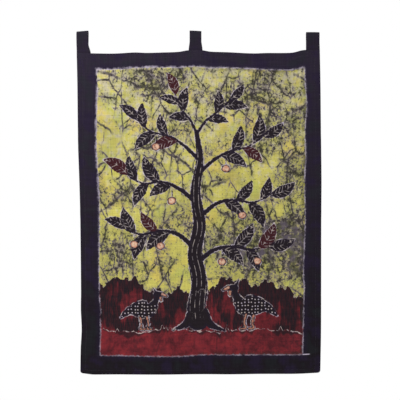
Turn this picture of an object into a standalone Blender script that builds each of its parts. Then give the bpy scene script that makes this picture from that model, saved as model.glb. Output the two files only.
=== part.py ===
"""Batik wall hanging: one hemmed cotton cloth with three sewn tab loops along its top edge.

Metres, +Z up. The cloth hangs in the XZ plane with its front towards -Y. The origin is on the line
where a straight rod bears inside the tabs, at the middle of the cloth's width.
"""

from collections import namedtuple
from math import cos, hypot, pi, sin

import bpy

MM = 0.001

CLOTH_THICKNESS = 1.0 * MM
HEM_THICKNESS = 2.0 * MM
HEM_RAMP = 1.5 * MM
LEFT_HEM = 15.0 * MM
RIGHT_HEM = 17.0 * MM
TOP_HEM = 16.0 * MM
BOTTOM_HEM = 13.0 * MM
CORNER_RADIUS = 7.0 * MM
GRID_PITCH = 22.0 * MM
FOLD_SPREAD = 1.6

TAB_THICKNESS = 1.2 * MM
TAB_OVERLAP = 13.0 * MM
ROD_RADIUS = 6.0 * MM
SEAM_RISE = 2.0 * MM
SEWN_GAP = 0.3 * MM
TAB_COLUMNS = 4
TAB_TOP_STEPS = 10
TAB_LEG_STEPS = 8
TAB_FLARE_HEIGHT = 26.0 * MM

CLOTH_FRONT = -(TAB_THICKNESS + SEWN_GAP + HEM_THICKNESS)

DARK_DYE = (0.030, 0.023, 0.040)
YELLOW_DYE = (0.48, 0.44, 0.13)
RED_DYE = (0.14, 0.020, 0.025)
FABRIC_ROUGHNESS = 0.9
SHARP_FOLD = pi / 4

# The dyed picture's edges, as distances in from the cloth's own edges.
BORDER_WIDTH = 50.0 * MM
RED_BAND_HEIGHT = 185.0 * MM

EdgePoint = namedtuple("EdgePoint", "along offset")

# Side edges: the distance below the rod's line, and X at the cloth's edge.
LEFT_EDGE = (
    EdgePoint(55 * MM, -327.0 * MM),
    EdgePoint(139 * MM, -325.2 * MM),
    EdgePoint(223 * MM, -324.2 * MM),
    EdgePoint(308 * MM, -323.0 * MM),
    EdgePoint(394 * MM, -320.0 * MM),
    EdgePoint(479 * MM, -317.6 * MM),
    EdgePoint(565 * MM, -316.4 * MM),
    EdgePoint(695 * MM, -315.3 * MM),
    EdgePoint(740 * MM, -315.7 * MM),
    EdgePoint(792 * MM, -313.5 * MM),
    EdgePoint(846 * MM, -316.0 * MM),
    EdgePoint(913 * MM, -317.0 * MM),
)
RIGHT_EDGE = (
    EdgePoint(48 * MM, 320.2 * MM),
    EdgePoint(139 * MM, 322.0 * MM),
    EdgePoint(246 * MM, 323.1 * MM),
    EdgePoint(394 * MM, 324.8 * MM),
    EdgePoint(500 * MM, 324.1 * MM),
    EdgePoint(716 * MM, 323.6 * MM),
    EdgePoint(802 * MM, 323.2 * MM),
    EdgePoint(909 * MM, 321.2 * MM),
)

# Top and bottom edges: X, and the distance below the rod's line. The tabs lift the top edge at three places.
TOP_EDGE = (
    EdgePoint(-327 * MM, 57.5 * MM),
    EdgePoint(-287 * MM, 58.2 * MM),
    EdgePoint(-223 * MM, 58.3 * MM),
    EdgePoint(-170 * MM, 55.6 * MM),
    EdgePoint(-137 * MM, 56.8 * MM),
    EdgePoint(-95 * MM, 55.8 * MM),
    EdgePoint(-52 * MM, 54.2 * MM),
    EdgePoint(-28 * MM, 50.4 * MM),
    EdgePoint(5 * MM, 49.4 * MM),
    EdgePoint(33 * MM, 53.5 * MM),
    EdgePoint(76 * MM, 54.7 * MM),
    EdgePoint(145 * MM, 57.9 * MM),
    EdgePoint(183 * MM, 56.9 * MM),
    EdgePoint(226 * MM, 57.0 * MM),
    EdgePoint(252 * MM, 56.0 * MM),
    EdgePoint(279 * MM, 49.8 * MM),
    EdgePoint(321 * MM, 48.0 * MM),
)
BOTTOM_EDGE = (
    EdgePoint(-317 * MM, 909.6 * MM),
    EdgePoint(-285 * MM, 913.0 * MM),
    EdgePoint(60 * MM, 912.9 * MM),
    EdgePoint(150 * MM, 912.1 * MM),
    EdgePoint(245 * MM, 911.8 * MM),
    EdgePoint(321 * MM, 907.8 * MM),
)

# Soft hanging folds that run down the cloth: X at the top edge, sideways drift over the whole height,
# width, and how far each stands forward at the top, the middle and the bottom. A fold fades out
# FOLD_SPREAD widths from its middle.
HangingFold = namedtuple("HangingFold", "place drift width top middle bottom")
HANGING_FOLDS = (
    HangingFold(-312 * MM, 20 * MM, 60 * MM, 1.5 * MM, 2.5 * MM, 4.5 * MM),
    HangingFold(-225 * MM, 35 * MM, 70 * MM, -3.5 * MM, -3.0 * MM, -2.0 * MM),
    HangingFold(-110 * MM, -25 * MM, 80 * MM, -1.5 * MM, 2.5 * MM, 3.5 * MM),
    HangingFold(-12 * MM, 15 * MM, 50 * MM, 2.0 * MM, 1.0 * MM, -2.5 * MM),
    HangingFold(95 * MM, 30 * MM, 85 * MM, -4.0 * MM, -2.0 * MM, 2.0 * MM),
    HangingFold(205 * MM, -20 * MM, 65 * MM, -2.5 * MM, 2.0 * MM, -3.0 * MM),
    HangingFold(312 * MM, -10 * MM, 55 * MM, 1.5 * MM, -1.5 * MM, 5.0 * MM),
)

# Creases left by folding the cloth for storage: the distance below the rod's line, the height of the
# ridge and its half width. They run from side to side.
StorageCrease = namedtuple("StorageCrease", "drop ridge half_width")
STORAGE_CREASES = (
    StorageCrease(269 * MM, -0.9 * MM, 15 * MM),
    StorageCrease(484 * MM, 1.6 * MM, 18 * MM),
    StorageCrease(697 * MM, -1.0 * MM, 15 * MM),
)

# Tabs: X of both sides where the loop turns over the rod and at the cloth's edge, and the heights of
# the loop's inner top at its left and right sides.
Tab = namedtuple("Tab", "name left right base_left base_right left_rise right_rise")
TABS = (
    Tab("tab_left", -327.6 * MM, -296.0 * MM, -327.1 * MM, -290.0 * MM, -1.2 * MM, 1.4 * MM),
    Tab("tab_middle", -26.4 * MM, 5.1 * MM, -29.0 * MM, 8.0 * MM, 1.8 * MM, 0.2 * MM),
    Tab("tab_right", 284.0 * MM, 319.3 * MM, 283.6 * MM, 320.3 * MM, -2.5 * MM, -2.7 * MM),
)


def clear_scene():
    """Removes the objects that Blender starts with."""
    for obj in list(bpy.data.objects):
        bpy.data.objects.remove(obj)


def edge_at(points, along):
    """Height of a smooth curve through the points: cubic pieces whose slopes are those of their neighbours."""
    along = min(max(along, points[0].along), points[-1].along)
    last = len(points) - 1
    i = 0
    while i < last - 1 and points[i + 1].along < along:
        i += 1
    before, start = points[max(i - 1, 0)], points[i]
    end, after = points[i + 1], points[min(i + 2, last)]
    span = end.along - start.along
    start_slope = (end.offset - before.offset) / (end.along - before.along) * span
    end_slope = (after.offset - start.offset) / (after.along - start.along) * span
    t = (along - start.along) / span
    return (
        start.offset * (2 * t**3 - 3 * t**2 + 1)
        + start_slope * (t**3 - 2 * t**2 + t)
        + end.offset * (3 * t**2 - 2 * t**3)
        + end_slope * (t**3 - t**2)
    )


def bump(distance, half_width):
    """A smooth hump: 1 at its middle, and 0 from half_width on."""
    share = min(abs(distance) / half_width, 1.0)
    return 0.5 + 0.5 * cos(pi * share)


def fold_depth(x, drop):
    """How far the cloth stands forward at X and a distance below the rod's line."""
    fall = min(max(drop / edge_at(BOTTOM_EDGE, x), 0.0), 1.0)
    depth = 0.0
    for fold in HANGING_FOLDS:
        reach = fold.top * (1 - fall) ** 2 + 2 * fold.middle * fall * (1 - fall) + fold.bottom * fall**2
        depth += reach * bump(x - fold.place - fold.drift * fall, FOLD_SPREAD * fold.width)
    for crease in STORAGE_CREASES:
        depth += crease.ridge * bump(drop - crease.drop, crease.half_width)
    return depth


def spaced(total, first_hem, last_hem, stops=()):
    """Distances across the cloth for its grid: close together at the two hems, on each stop, and even in between."""
    places = [first_hem + HEM_RAMP, *stops, total - last_hem - HEM_RAMP]
    inner = []
    for start, end in zip(places, places[1:]):
        steps = max(round((end - start) / GRID_PITCH), 1)
        inner += [start + (end - start) * i / steps for i in range(steps)]
    first = [0.0, CORNER_RADIUS / 2, CORNER_RADIUS, first_hem]
    last = [total - last_hem, total - CORNER_RADIUS, total - CORNER_RADIUS / 2, total]
    return first + inner + places[-1:] + last


def crease_rows():
    """Distances below the top edge where the grid needs a row: each storage crease's middle and both its sides."""
    top = TOP_EDGE[1].offset
    middles = [crease.drop - top for crease in STORAGE_CREASES]
    reaches = [crease.half_width for crease in STORAGE_CREASES]
    return [middle + side * reach for middle, reach in zip(middles, reaches) for side in (-1, 0, 1)]


def rounded(across, down, width, height):
    """The point of the sheet at distances across and down, with the lower corners drawn in to an arc."""
    side = min(across, width - across)
    low = height - down
    if side >= CORNER_RADIUS or low >= CORNER_RADIUS:
        return across, down
    p, q = 1 - side / CORNER_RADIUS, 1 - low / CORNER_RADIUS
    shrink = max(p, q) / hypot(p, q)
    new_side, new_low = CORNER_RADIUS * (1 - p * shrink), CORNER_RADIUS * (1 - q * shrink)
    new_across = new_side if across < width / 2 else width - new_side
    return new_across, height - new_low


def sheet_point(across, down, width, height):
    """X and the drop below the rod's line of the flat sheet's point, inside the uneven outline."""
    across, down = rounded(across, down, width, height)
    u, v = across / width, down / height
    drop = edge_at(TOP_EDGE, (u - 0.5) * width) * (1 - v) + edge_at(BOTTOM_EDGE, (u - 0.5) * width) * v
    left, right = edge_at(LEFT_EDGE, drop), edge_at(RIGHT_EDGE, drop)
    return left + (right - left) * u, drop


def thickness_at(across, down, width, height):
    """The sheet's thickness: hems are folded to the back, so they are thicker."""
    inside = min(across - LEFT_HEM, width - RIGHT_HEM - across, down - TOP_HEM, height - BOTTOM_HEM - down)
    share = min(max(inside / HEM_RAMP, 0.0), 1.0)
    return HEM_THICKNESS + (CLOTH_THICKNESS - HEM_THICKNESS) * share


def fabric(name, colour):
    """A matt cotton material of one dye colour."""
    material = bpy.data.materials.new(name)
    material.use_nodes = True
    shader = material.node_tree.nodes["Principled BSDF"]
    shader.inputs["Base Color"].default_value = (*colour, 1.0)
    shader.inputs["Roughness"].default_value = FABRIC_ROUGHNESS
    shader.inputs["Metallic"].default_value = 0.0
    return material


def add_solid(name, points, faces, materials):
    """Makes one named object from points and faces, shaded smooth with its sharp folds kept."""
    mesh = bpy.data.meshes.new(name)
    mesh.from_pydata(points, [], faces)
    mesh.validate()
    mesh.shade_smooth()
    mesh.set_sharp_from_angle(angle=SHARP_FOLD)
    for material in materials:
        mesh.materials.append(material)
    obj = bpy.data.objects.new(name, mesh)
    bpy.context.scene.collection.objects.link(obj)
    return obj


def grid_faces(columns, rows, first, flipped):
    """Quads of a grid of points stored row by row from index first."""
    faces = []
    for row in range(rows - 1):
        for column in range(columns - 1):
            a = first + row * columns + column
            quad = (a, a + columns, a + columns + 1, a + 1)
            faces.append(quad[::-1] if flipped else quad)
    return faces


def rim_loop(columns, rows):
    """Indices of the grid's outer points, once round."""
    top = list(range(columns))
    right = [row * columns + columns - 1 for row in range(1, rows)]
    bottom = [(rows - 1) * columns + column for column in range(columns - 2, -1, -1)]
    left = [row * columns for row in range(rows - 2, 0, -1)]
    return top + right + bottom + left


def build_cloth(dark, yellow, red):
    """The one-piece cotton cloth: a front and a back surface on the same folds, joined round the rim."""
    width = RIGHT_EDGE[0].offset - LEFT_EDGE[0].offset
    height = BOTTOM_EDGE[1].offset - TOP_EDGE[1].offset
    across = spaced(width, LEFT_HEM, RIGHT_HEM)
    down = spaced(height, TOP_HEM, BOTTOM_HEM, crease_rows())
    columns, rows = len(across), len(down)
    front, back = [], []
    for d in down:
        for a in across:
            x, drop = sheet_point(a, d, width, height)
            y = CLOTH_FRONT - fold_depth(x, drop)
            front.append((x, y, -drop))
            back.append((x, y + thickness_at(a, d, width, height), -drop))
    faces = grid_faces(columns, rows, 0, flipped=False)
    faces += grid_faces(columns, rows, columns * rows, flipped=True)
    loop = rim_loop(columns, rows)
    for here, following in zip(loop, loop[1:] + loop[:1]):
        faces.append((here, following, following + columns * rows, here + columns * rows))
    cloth = add_solid("batik_cloth", front + back, faces, (dark, yellow, red))
    for face in cloth.data.polygons:
        face.material_index = dye_of(face.center, height)
    return cloth


def dye_of(centre, height):
    """Which dye a face takes: 0 for the dark border, 1 for the yellow ground, 2 for the red band."""
    drop = -centre.z
    left, right = edge_at(LEFT_EDGE, drop), edge_at(RIGHT_EDGE, drop)
    top, bottom = edge_at(TOP_EDGE, centre.x), edge_at(TOP_EDGE, centre.x) + height
    if min(centre.x - left, right - centre.x, drop - top, bottom - drop) < BORDER_WIDTH:
        return 0
    return 2 if drop > bottom - RED_BAND_HEIGHT else 1


def loop_profile(seam_drop):
    """The loop's outline from its front seam over the rod to its back seam: (inner, outer) points as (y, z).

    Z counts from the loop's inner top. Round the rod the inner line is a half circle, and below it the
    two legs close in along half a cosine wave until they meet at the seam.
    """
    leg = seam_drop - ROD_RADIUS
    front = []
    for i in range(TAB_LEG_STEPS):
        t = 1 - i / TAB_LEG_STEPS
        gap = ROD_RADIUS * (0.5 + 0.5 * cos(pi * t))
        z = -ROD_RADIUS - leg * t
        front.append(((-gap, z), (-gap - TAB_THICKNESS, z)))
    top = []
    for i in range(TAB_TOP_STEPS + 1):
        angle = pi * (1 - i / TAB_TOP_STEPS)
        ray = (cos(angle), sin(angle))
        inner = (ROD_RADIUS * ray[0], ROD_RADIUS * (ray[1] - 1))
        reach = ROD_RADIUS + TAB_THICKNESS
        outer = (reach * ray[0], reach * ray[1] - ROD_RADIUS)
        top.append((inner, outer))
    back = [((-inner[0], inner[1]), (-outer[0], outer[1])) for inner, outer in reversed(front)]
    return front + top + back


def tab_column(tab, share):
    """The points of one tab at a share of its width, as (x, y, z): outer line, inner line and sewn end."""
    x_top = tab.left + (tab.right - tab.left) * share
    x_base = tab.base_left + (tab.base_right - tab.base_left) * share
    rise = tab.left_rise + (tab.right_rise - tab.left_rise) * share
    edge = edge_at(TOP_EDGE, x_base)
    lean = -fold_depth(x_base, edge)
    profile = loop_profile(edge - SEAM_RISE + rise)

    def place(y, z):
        height = z + rise
        flare = bump(height + edge, TAB_FLARE_HEIGHT)
        follow = bump(min(height + edge, edge) / edge, 1.0)
        return (x_top + (x_base - x_top) * flare, y + lean * follow, height)

    outer = [place(*points[1]) for points in profile]
    inner = [place(*points[0]) for points in profile[:-1]]
    sewn = []
    for drop in (edge, edge + TAB_OVERLAP):
        y = -fold_depth(x_base, drop)
        sewn.append((x_base, y - TAB_THICKNESS, -drop))
        sewn.append((x_base, y + TAB_THICKNESS, -drop))
    return outer + inner + sewn


def section_faces(loop_points):
    """Faces that fill one tab's section, as indices into a column of its points.

    The column holds the outer line, the inner line without its last point, which is the seam that it
    starts from, and the sewn end's front and back at the cloth's edge and at the strip's end.
    """
    seam = loop_points
    edge_front = 2 * loop_points - 1
    edge_back, end_front, end_back = edge_front + 1, edge_front + 2, edge_front + 3
    inner = [*range(seam, edge_front), seam]
    faces = [(i, i + 1, inner[i + 1], inner[i]) for i in range(loop_points - 1)]
    faces.append((0, seam, loop_points - 1, edge_back, edge_front))
    faces.append((edge_front, edge_back, end_back, end_front))
    return faces


def boundary_edges(faces):
    """Edges that only one face of the section uses, in that face's direction."""
    edges = [(face[i], face[(i + 1) % len(face)]) for face in faces for i in range(len(face))]
    return [edge for edge in edges if edge[::-1] not in edges]


def build_tab(tab, dark):
    """One tab: a sewn strip folded over the rod, with both ends behind the top hem."""
    columns = [tab_column(tab, i / TAB_COLUMNS) for i in range(TAB_COLUMNS + 1)]
    count = len(columns[0])
    loop_points = TAB_TOP_STEPS + 1 + 2 * TAB_LEG_STEPS
    section = section_faces(loop_points)
    faces = list(section)
    last = TAB_COLUMNS * count
    faces += [tuple(last + i for i in face[::-1]) for face in section]
    for column in range(TAB_COLUMNS):
        here, following = column * count, (column + 1) * count
        for a, b in boundary_edges(section):
            faces.append((here + b, here + a, following + a, following + b))
    points = [point for column in columns for point in column]
    return add_solid(tab.name, points, faces, (dark,))


def main():
    clear_scene()
    dark = fabric("dark dyed cotton", DARK_DYE)
    yellow = fabric("yellow dyed cotton", YELLOW_DYE)
    red = fabric("red dyed cotton", RED_DYE)
    build_cloth(dark, yellow, red)
    for tab in TABS:
        build_tab(tab, dark)


main()
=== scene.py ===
"""Looks of a batik wall hanging: one waxed, dyed and crackled cotton cloth, its hems, tabs and stitching.

Metres, +Z up, the cloth's front towards -Y, on the same outline and folds as the solids. The picture on
the cloth is a plain generic one: a fruit tree and two spotted ground birds over a band of red earth.
"""

from collections import namedtuple
from functools import partial
from math import cos, log2, pi, radians, sin

import bpy
import numpy as np
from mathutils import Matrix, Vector


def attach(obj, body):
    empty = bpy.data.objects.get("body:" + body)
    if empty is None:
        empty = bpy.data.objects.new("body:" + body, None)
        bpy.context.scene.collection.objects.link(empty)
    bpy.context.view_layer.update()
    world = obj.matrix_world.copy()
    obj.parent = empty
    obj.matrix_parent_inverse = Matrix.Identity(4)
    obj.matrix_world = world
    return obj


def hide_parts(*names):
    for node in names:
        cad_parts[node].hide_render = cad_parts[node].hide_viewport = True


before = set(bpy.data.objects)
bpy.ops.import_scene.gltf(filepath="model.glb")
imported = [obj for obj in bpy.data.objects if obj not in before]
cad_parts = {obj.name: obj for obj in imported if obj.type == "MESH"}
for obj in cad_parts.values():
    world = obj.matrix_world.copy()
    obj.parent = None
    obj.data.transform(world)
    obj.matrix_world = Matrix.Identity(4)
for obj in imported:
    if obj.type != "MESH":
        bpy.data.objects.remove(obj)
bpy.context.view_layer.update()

MM = 0.001
TINY = 1e-9
BODY = "root"

# The cloth's sizes, as its solid has them
CLOTH_THICKNESS = 0.7 * MM
HEM_THICKNESS = 1.8 * MM
LEFT_HEM = 15.0 * MM
RIGHT_HEM = 17.0 * MM
TOP_HEM = 16.0 * MM
BOTTOM_HEM = 13.0 * MM
HEM_STEP = 0.8 * MM
STITCH_INSET = 2.0 * MM
CORNER_RADIUS = 7.0 * MM
FOLD_SPREAD = 1.6

# The tabs' sizes, as their solids have them
TAB_THICKNESS = 1.2 * MM
TAB_OVERLAP = 13.0 * MM
ROD_RADIUS = 6.0 * MM
SEAM_RISE = 2.0 * MM
SEWN_GAP = 0.3 * MM
TAB_FLARE_HEIGHT = 26.0 * MM

CLOTH_FRONT = -(TAB_THICKNESS + SEWN_GAP + 2.0 * MM)

EdgePoint = namedtuple("EdgePoint", "along offset")


def edge_points(*rows):
    """The points of an edge or line, each a place along it and an offset."""
    return tuple(EdgePoint(*row) for row in rows)


# Side edges: the distance below the rod's line, and X at the cloth's edge, in mm
LEFT_EDGE = edge_points(
    (55, -327.0), (139, -325.2), (223, -324.2), (308, -323.0), (394, -320.0), (479, -317.6),
    (565, -316.4), (695, -315.3), (740, -315.7), (792, -313.5), (846, -316.0), (913, -317.0),
)
RIGHT_EDGE = edge_points(
    (48, 320.2), (139, 322.0), (246, 323.1), (394, 324.8), (500, 324.1), (716, 323.6), (802, 323.2),
    (909, 321.2),
)

# Top and bottom edges: X, and the distance below the rod's line, in mm
TOP_EDGE = edge_points(
    (-327, 57.5), (-287, 58.2), (-223, 58.3), (-170, 55.6), (-137, 56.8), (-95, 55.8), (-52, 54.2),
    (-28, 50.4), (5, 49.4), (33, 53.5), (76, 54.7), (145, 57.9), (183, 56.9), (226, 57.0), (252, 56.0),
    (279, 49.8), (321, 48.0),
)
BOTTOM_EDGE = edge_points(
    (-317, 909.6), (-285, 913.0), (60, 912.9), (150, 912.1), (245, 911.8), (321, 907.8),
)

# The waxed frame line round the picture, drawn by hand: the place along each side, and how far in from
# the cloth's edge it runs, in mm
LEFT_LINE = edge_points(
    (95, 52.0), (150, 53.5), (240, 50.0), (320, 49.0), (440, 51.5), (640, 48.5), (710, 49.5),
    (742, 53.0), (775, 50.5), (865, 52.0),
)
RIGHT_LINE = edge_points(
    (95, 42.0), (150, 40.0), (197, 37.0), (265, 42.5), (330, 41.5), (400, 45.0), (500, 43.0),
    (650, 47.5), (680, 45.0), (780, 47.5), (865, 48.0),
)
TOP_LINE = edge_points(
    (-275, 43.0), (-180, 42.0), (-132, 39.0), (-50, 42.0), (12, 45.0), (55, 42.5), (140, 41.0),
    (188, 45.0), (280, 45.5),
)
BOTTOM_LINE = edge_points(
    (-265, 51.0), (-150, 49.0), (-50, 48.0), (12, 52.0), (110, 51.5), (276, 51.0),
)

# Soft hanging folds, in mm: X at the top edge, sideways drift over the whole height, width, and how far
# each stands forward at the top, the middle and the bottom
HangingFold = namedtuple("HangingFold", "place drift width top middle bottom")
HANGING_FOLDS = (
    HangingFold(-312, 20, 60, 1.5, 2.5, 4.5),
    HangingFold(-225, 35, 70, -3.5, -3.0, -2.0),
    HangingFold(-110, -25, 80, -1.5, 2.5, 3.5),
    HangingFold(-12, 15, 50, 2.0, 1.0, -2.5),
    HangingFold(95, 30, 85, -4.0, -2.0, 2.0),
    HangingFold(205, -20, 65, -2.5, 2.0, -3.0),
    HangingFold(312, -10, 55, 1.5, -1.5, 5.0),
)

# Creases left by folding for storage, in mm: distance below the rod's line, height and half width
StorageCrease = namedtuple("StorageCrease", "drop ridge half_width")
STORAGE_CREASES = (
    StorageCrease(269, -0.9, 15),
    StorageCrease(484, 1.6, 18),
    StorageCrease(697, -1.0, 15),
)

# Tabs, in mm: X of both sides over the rod and at the cloth's edge, and the loop's height at both sides
Tab = namedtuple("Tab", "name left right base_left base_right left_rise right_rise")
TABS = (
    Tab("tab_left", -327.6, -296.0, -327.1, -290.0, -1.2, 1.4),
    Tab("tab_middle", -26.4, 5.1, -29.0, 8.0, 1.8, 0.2),
    Tab("tab_right", 284.0, 319.3, 283.6, 320.3, -2.5, -2.7),
)

# How far the bottom line runs on past the right one, in mm
OVERSHOOT = 17.0

# Small wrinkles of handled cotton, in mm: wave length, direction in degrees, phase in turns, height
Wrinkle = namedtuple("Wrinkle", "length direction phase height")
WRINKLES = (
    Wrinkle(83, 17, 0.10, 0.30),
    Wrinkle(59, 101, 0.42, 0.24),
    Wrinkle(41, 152, 0.77, 0.16),
    Wrinkle(29, 64, 0.23, 0.10),
    Wrinkle(23, 128, 0.61, 0.07),
)

# How much of the wrinkles is left on the hems, and from where and over how far they grow to their full
# height inside them, in mm
HEM_WRINKLE_SHARE = 0.35
WRINKLE_START = 4
WRINKLE_REACH = 30

# Puckers along the hems' seam, whose length drifts a little, and the groove that its stitches draw, in mm
PUCKER_HEIGHT = 0.22
PUCKER_LENGTH = 17
PUCKER_REACH = 9
PUCKER_DRIFT = 1.3
PUCKER_DRIFT_LENGTH = 31
GROOVE_DEPTH = 0.28
GROOVE_HALF_WIDTH = 2.4

# The folded edge: how far in it starts to turn back, and how far it turns, in mm
ROLL_REACH = 1.2
ROLL_DEPTH = 0.6

# The picture's own measure: mm from its left side and up from its bottom
PICTURE_LEFT = -270.0
PICTURE_BOTTOM = 863.0


def edge_at(edge, along):
    """Offset of a smooth curve through an edge's points: cubic pieces with the slopes of their neighbours."""
    table = np.array(edge, float)
    last = len(table) - 1
    along = np.clip(along, table[0, 0], table[last, 0])
    start = np.clip(np.searchsorted(table[:, 0], along, side="left") - 1, 0, last - 1)
    end = start + 1
    before, after = np.maximum(start - 1, 0), np.minimum(end + 1, last)
    span = table[end, 0] - table[start, 0]
    start_slope = (table[end, 1] - table[before, 1]) / (table[end, 0] - table[before, 0]) * span
    end_slope = (table[after, 1] - table[start, 1]) / (table[after, 0] - table[start, 0]) * span
    t = (along - table[start, 0]) / span
    return (
        table[start, 1] * (2 * t**3 - 3 * t**2 + 1)
        + start_slope * (t**3 - 2 * t**2 + t)
        + table[end, 1] * (3 * t**2 - 2 * t**3)
        + end_slope * (t**3 - t**2)
    )


def bump(distance, half_width):
    """A smooth hump: 1 at its middle, and 0 from half_width on."""
    return 0.5 + 0.5 * np.cos(pi * np.minimum(np.abs(distance) / half_width, 1.0))


def fold_depth(x, drop):
    """How far the cloth stands forward at X and a distance below the rod's line, all in mm."""
    fall = np.clip(drop / edge_at(BOTTOM_EDGE, x), 0.0, 1.0)
    depth = np.zeros_like(fall)
    for fold in HANGING_FOLDS:
        reach = fold.top * (1 - fall) ** 2 + 2 * fold.middle * fall * (1 - fall) + fold.bottom * fall**2
        depth += reach * bump(x - fold.place - fold.drift * fall, FOLD_SPREAD * fold.width)
    for crease in STORAGE_CREASES:
        depth += crease.ridge * bump(drop - crease.drop, crease.half_width)
    return depth


CLOTH_WIDTH = RIGHT_EDGE[0].offset - LEFT_EDGE[0].offset
CLOTH_HEIGHT = BOTTOM_EDGE[1].offset - TOP_EDGE[1].offset


def rounded(across, down):
    """Distances across and down the cloth, in mm, with the lower corners drawn in to an arc."""
    radius = CORNER_RADIUS / MM
    side = np.minimum(across, CLOTH_WIDTH - across)
    low = CLOTH_HEIGHT - down
    p, q = np.maximum(1 - side / radius, 0), np.maximum(1 - low / radius, 0)
    corner = (p > 0) & (q > 0)
    shrink = np.where(corner, np.maximum(p, q) / np.maximum(np.hypot(p, q), TINY), 1.0)
    new_side = np.where(corner, radius * (1 - p * shrink), side)
    new_low = np.where(corner, radius * (1 - q * shrink), low)
    return np.where(across < CLOTH_WIDTH / 2, new_side, CLOTH_WIDTH - new_side), CLOTH_HEIGHT - new_low


def flat_place(across, down):
    """X and the distance below the rod's line, in mm, of the cloth's point inside its uneven outline."""
    across, down = rounded(across, down)
    u, v = across / CLOTH_WIDTH, down / CLOTH_HEIGHT
    middle_x = (u - 0.5) * CLOTH_WIDTH
    drop = edge_at(TOP_EDGE, middle_x) * (1 - v) + edge_at(BOTTOM_EDGE, middle_x) * v
    left, right = edge_at(LEFT_EDGE, drop), edge_at(RIGHT_EDGE, drop)
    return left + (right - left) * u, drop


def hem_distance(across, down):
    """How far inside the hems' inner edges a point lies, in mm: negative on the hems."""
    return np.minimum(
        np.minimum(across - LEFT_HEM / MM, CLOTH_WIDTH - RIGHT_HEM / MM - across),
        np.minimum(down - TOP_HEM / MM, CLOTH_HEIGHT - BOTTOM_HEM / MM - down),
    )


def rim_distances(across, down):
    """Distances to the nearer side and to the nearer of the top and the bottom, in mm."""
    return np.minimum(across, CLOTH_WIDTH - across), np.minimum(down, CLOTH_HEIGHT - down)


def relief(across, down, x, drop):
    """Small forms on the front, in mm forward: wrinkles, puckers along the seam, and the seam's groove.

    Each wrinkle is a sine wave across its direction. Puckers are short waves along the hem that fade
    away from the line of stitches, and the stitches draw the cloth in along a soft groove.
    """
    inside = hem_distance(across, down)
    waves = np.zeros_like(x)
    for wrinkle in WRINKLES:
        turn = radians(wrinkle.direction)
        along = x * cos(turn) + drop * sin(turn)
        waves += wrinkle.height * np.sin(2 * pi * (along / wrinkle.length + wrinkle.phase))
    grown = np.clip((inside - WRINKLE_START) / WRINKLE_REACH, 0, 1)
    shown = HEM_WRINKLE_SHARE + (1 - HEM_WRINKLE_SHARE) * grown
    seam = np.abs(inside + STITCH_INSET / MM)
    to_side, to_end = rim_distances(across, down)
    lengthwise = np.where(to_side < to_end, drop, x)
    drift = PUCKER_DRIFT * np.sin(lengthwise / PUCKER_DRIFT_LENGTH)
    wave = np.sin(2 * pi * lengthwise / PUCKER_LENGTH + drift)
    pucker = PUCKER_HEIGHT * np.exp(-seam / PUCKER_REACH) * wave
    return waves * shown + pucker - GROOVE_DEPTH * bump(seam, GROOVE_HALF_WIDTH)


def edge_roll(across, down):
    """How far the folded edge turns back from the front, in mm: a quarter round over the rim."""
    share = np.clip(1 - np.minimum(*rim_distances(across, down)) / ROLL_REACH, 0, 1)
    return ROLL_DEPTH * (1 - np.sqrt(1 - share**2))


def cloth_surface(across, down):
    """The cloth's front and back at distances across and down, in mm: X, front Y, back Y and Z, in metres."""
    x, drop = flat_place(across, down)
    front = CLOTH_FRONT / MM - fold_depth(x, drop) - relief(across, down, x, drop) + edge_roll(across, down)
    on_hem = np.clip(-hem_distance(across, down) / (HEM_STEP / MM), 0, 1)
    thickness = (CLOTH_THICKNESS + (HEM_THICKNESS - CLOTH_THICKNESS) * on_hem) / MM
    back = front + thickness - 2 * edge_roll(across, down)
    return x * MM, front * MM, back * MM, -drop * MM


# The picture: every form is a limb, a line with a half width at each of its points, in the picture's mm
Limb = namedtuple("Limb", "line widths pattern pitch tone spotted accent")
LIMB_STEPS = 24

# How far round a form its distances are worked out, what stands for far away, and how wide the dark ring
# round a coral form is, in mm
FIELD_REACH = 14.0
FAR = 40.0
ACCENT_RING = 2.6

# Waxed lines: how far a leaf's veins slant and where the first one starts, and how far and over what
# length the bark's lines waver, in mm
VEIN_SLANT = 0.85
VEIN_START = 3.0
BARK_WAVER = 1.8
BARK_WAVER_LENGTH = 17


def smooth_line(points, steps):
    """A smooth line through the points: cubic pieces whose slopes are half the step between neighbours."""
    given = np.array(points, float)
    padded = np.vstack([2 * given[0] - given[1], given, 2 * given[-1] - given[-2]])
    t = np.linspace(0, len(given) - 1, steps)
    first = np.minimum(t.astype(int), len(given) - 2)
    f = (t - first)[:, None]
    a, b, c, d = (padded[first + i] for i in range(4))
    return 0.5 * (2 * b + (c - a) * f + (2 * a - 5 * b + 4 * c - d) * f**2 + (3 * b - a - 3 * c + d) * f**3)


def limb(points, widths, pattern="plain", pitch=9.0, spotted=0.0, accent=False, steps=LIMB_STEPS):
    """A limb on a smooth line through points, whose half width runs smoothly through widths."""
    line = smooth_line(points, steps)
    places = np.linspace(0, 1, len(widths))
    shares = np.linspace(0, 1, steps)
    return Limb(line, np.interp(shares, places, widths), pattern, pitch, 0.0, spotted, accent)


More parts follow.
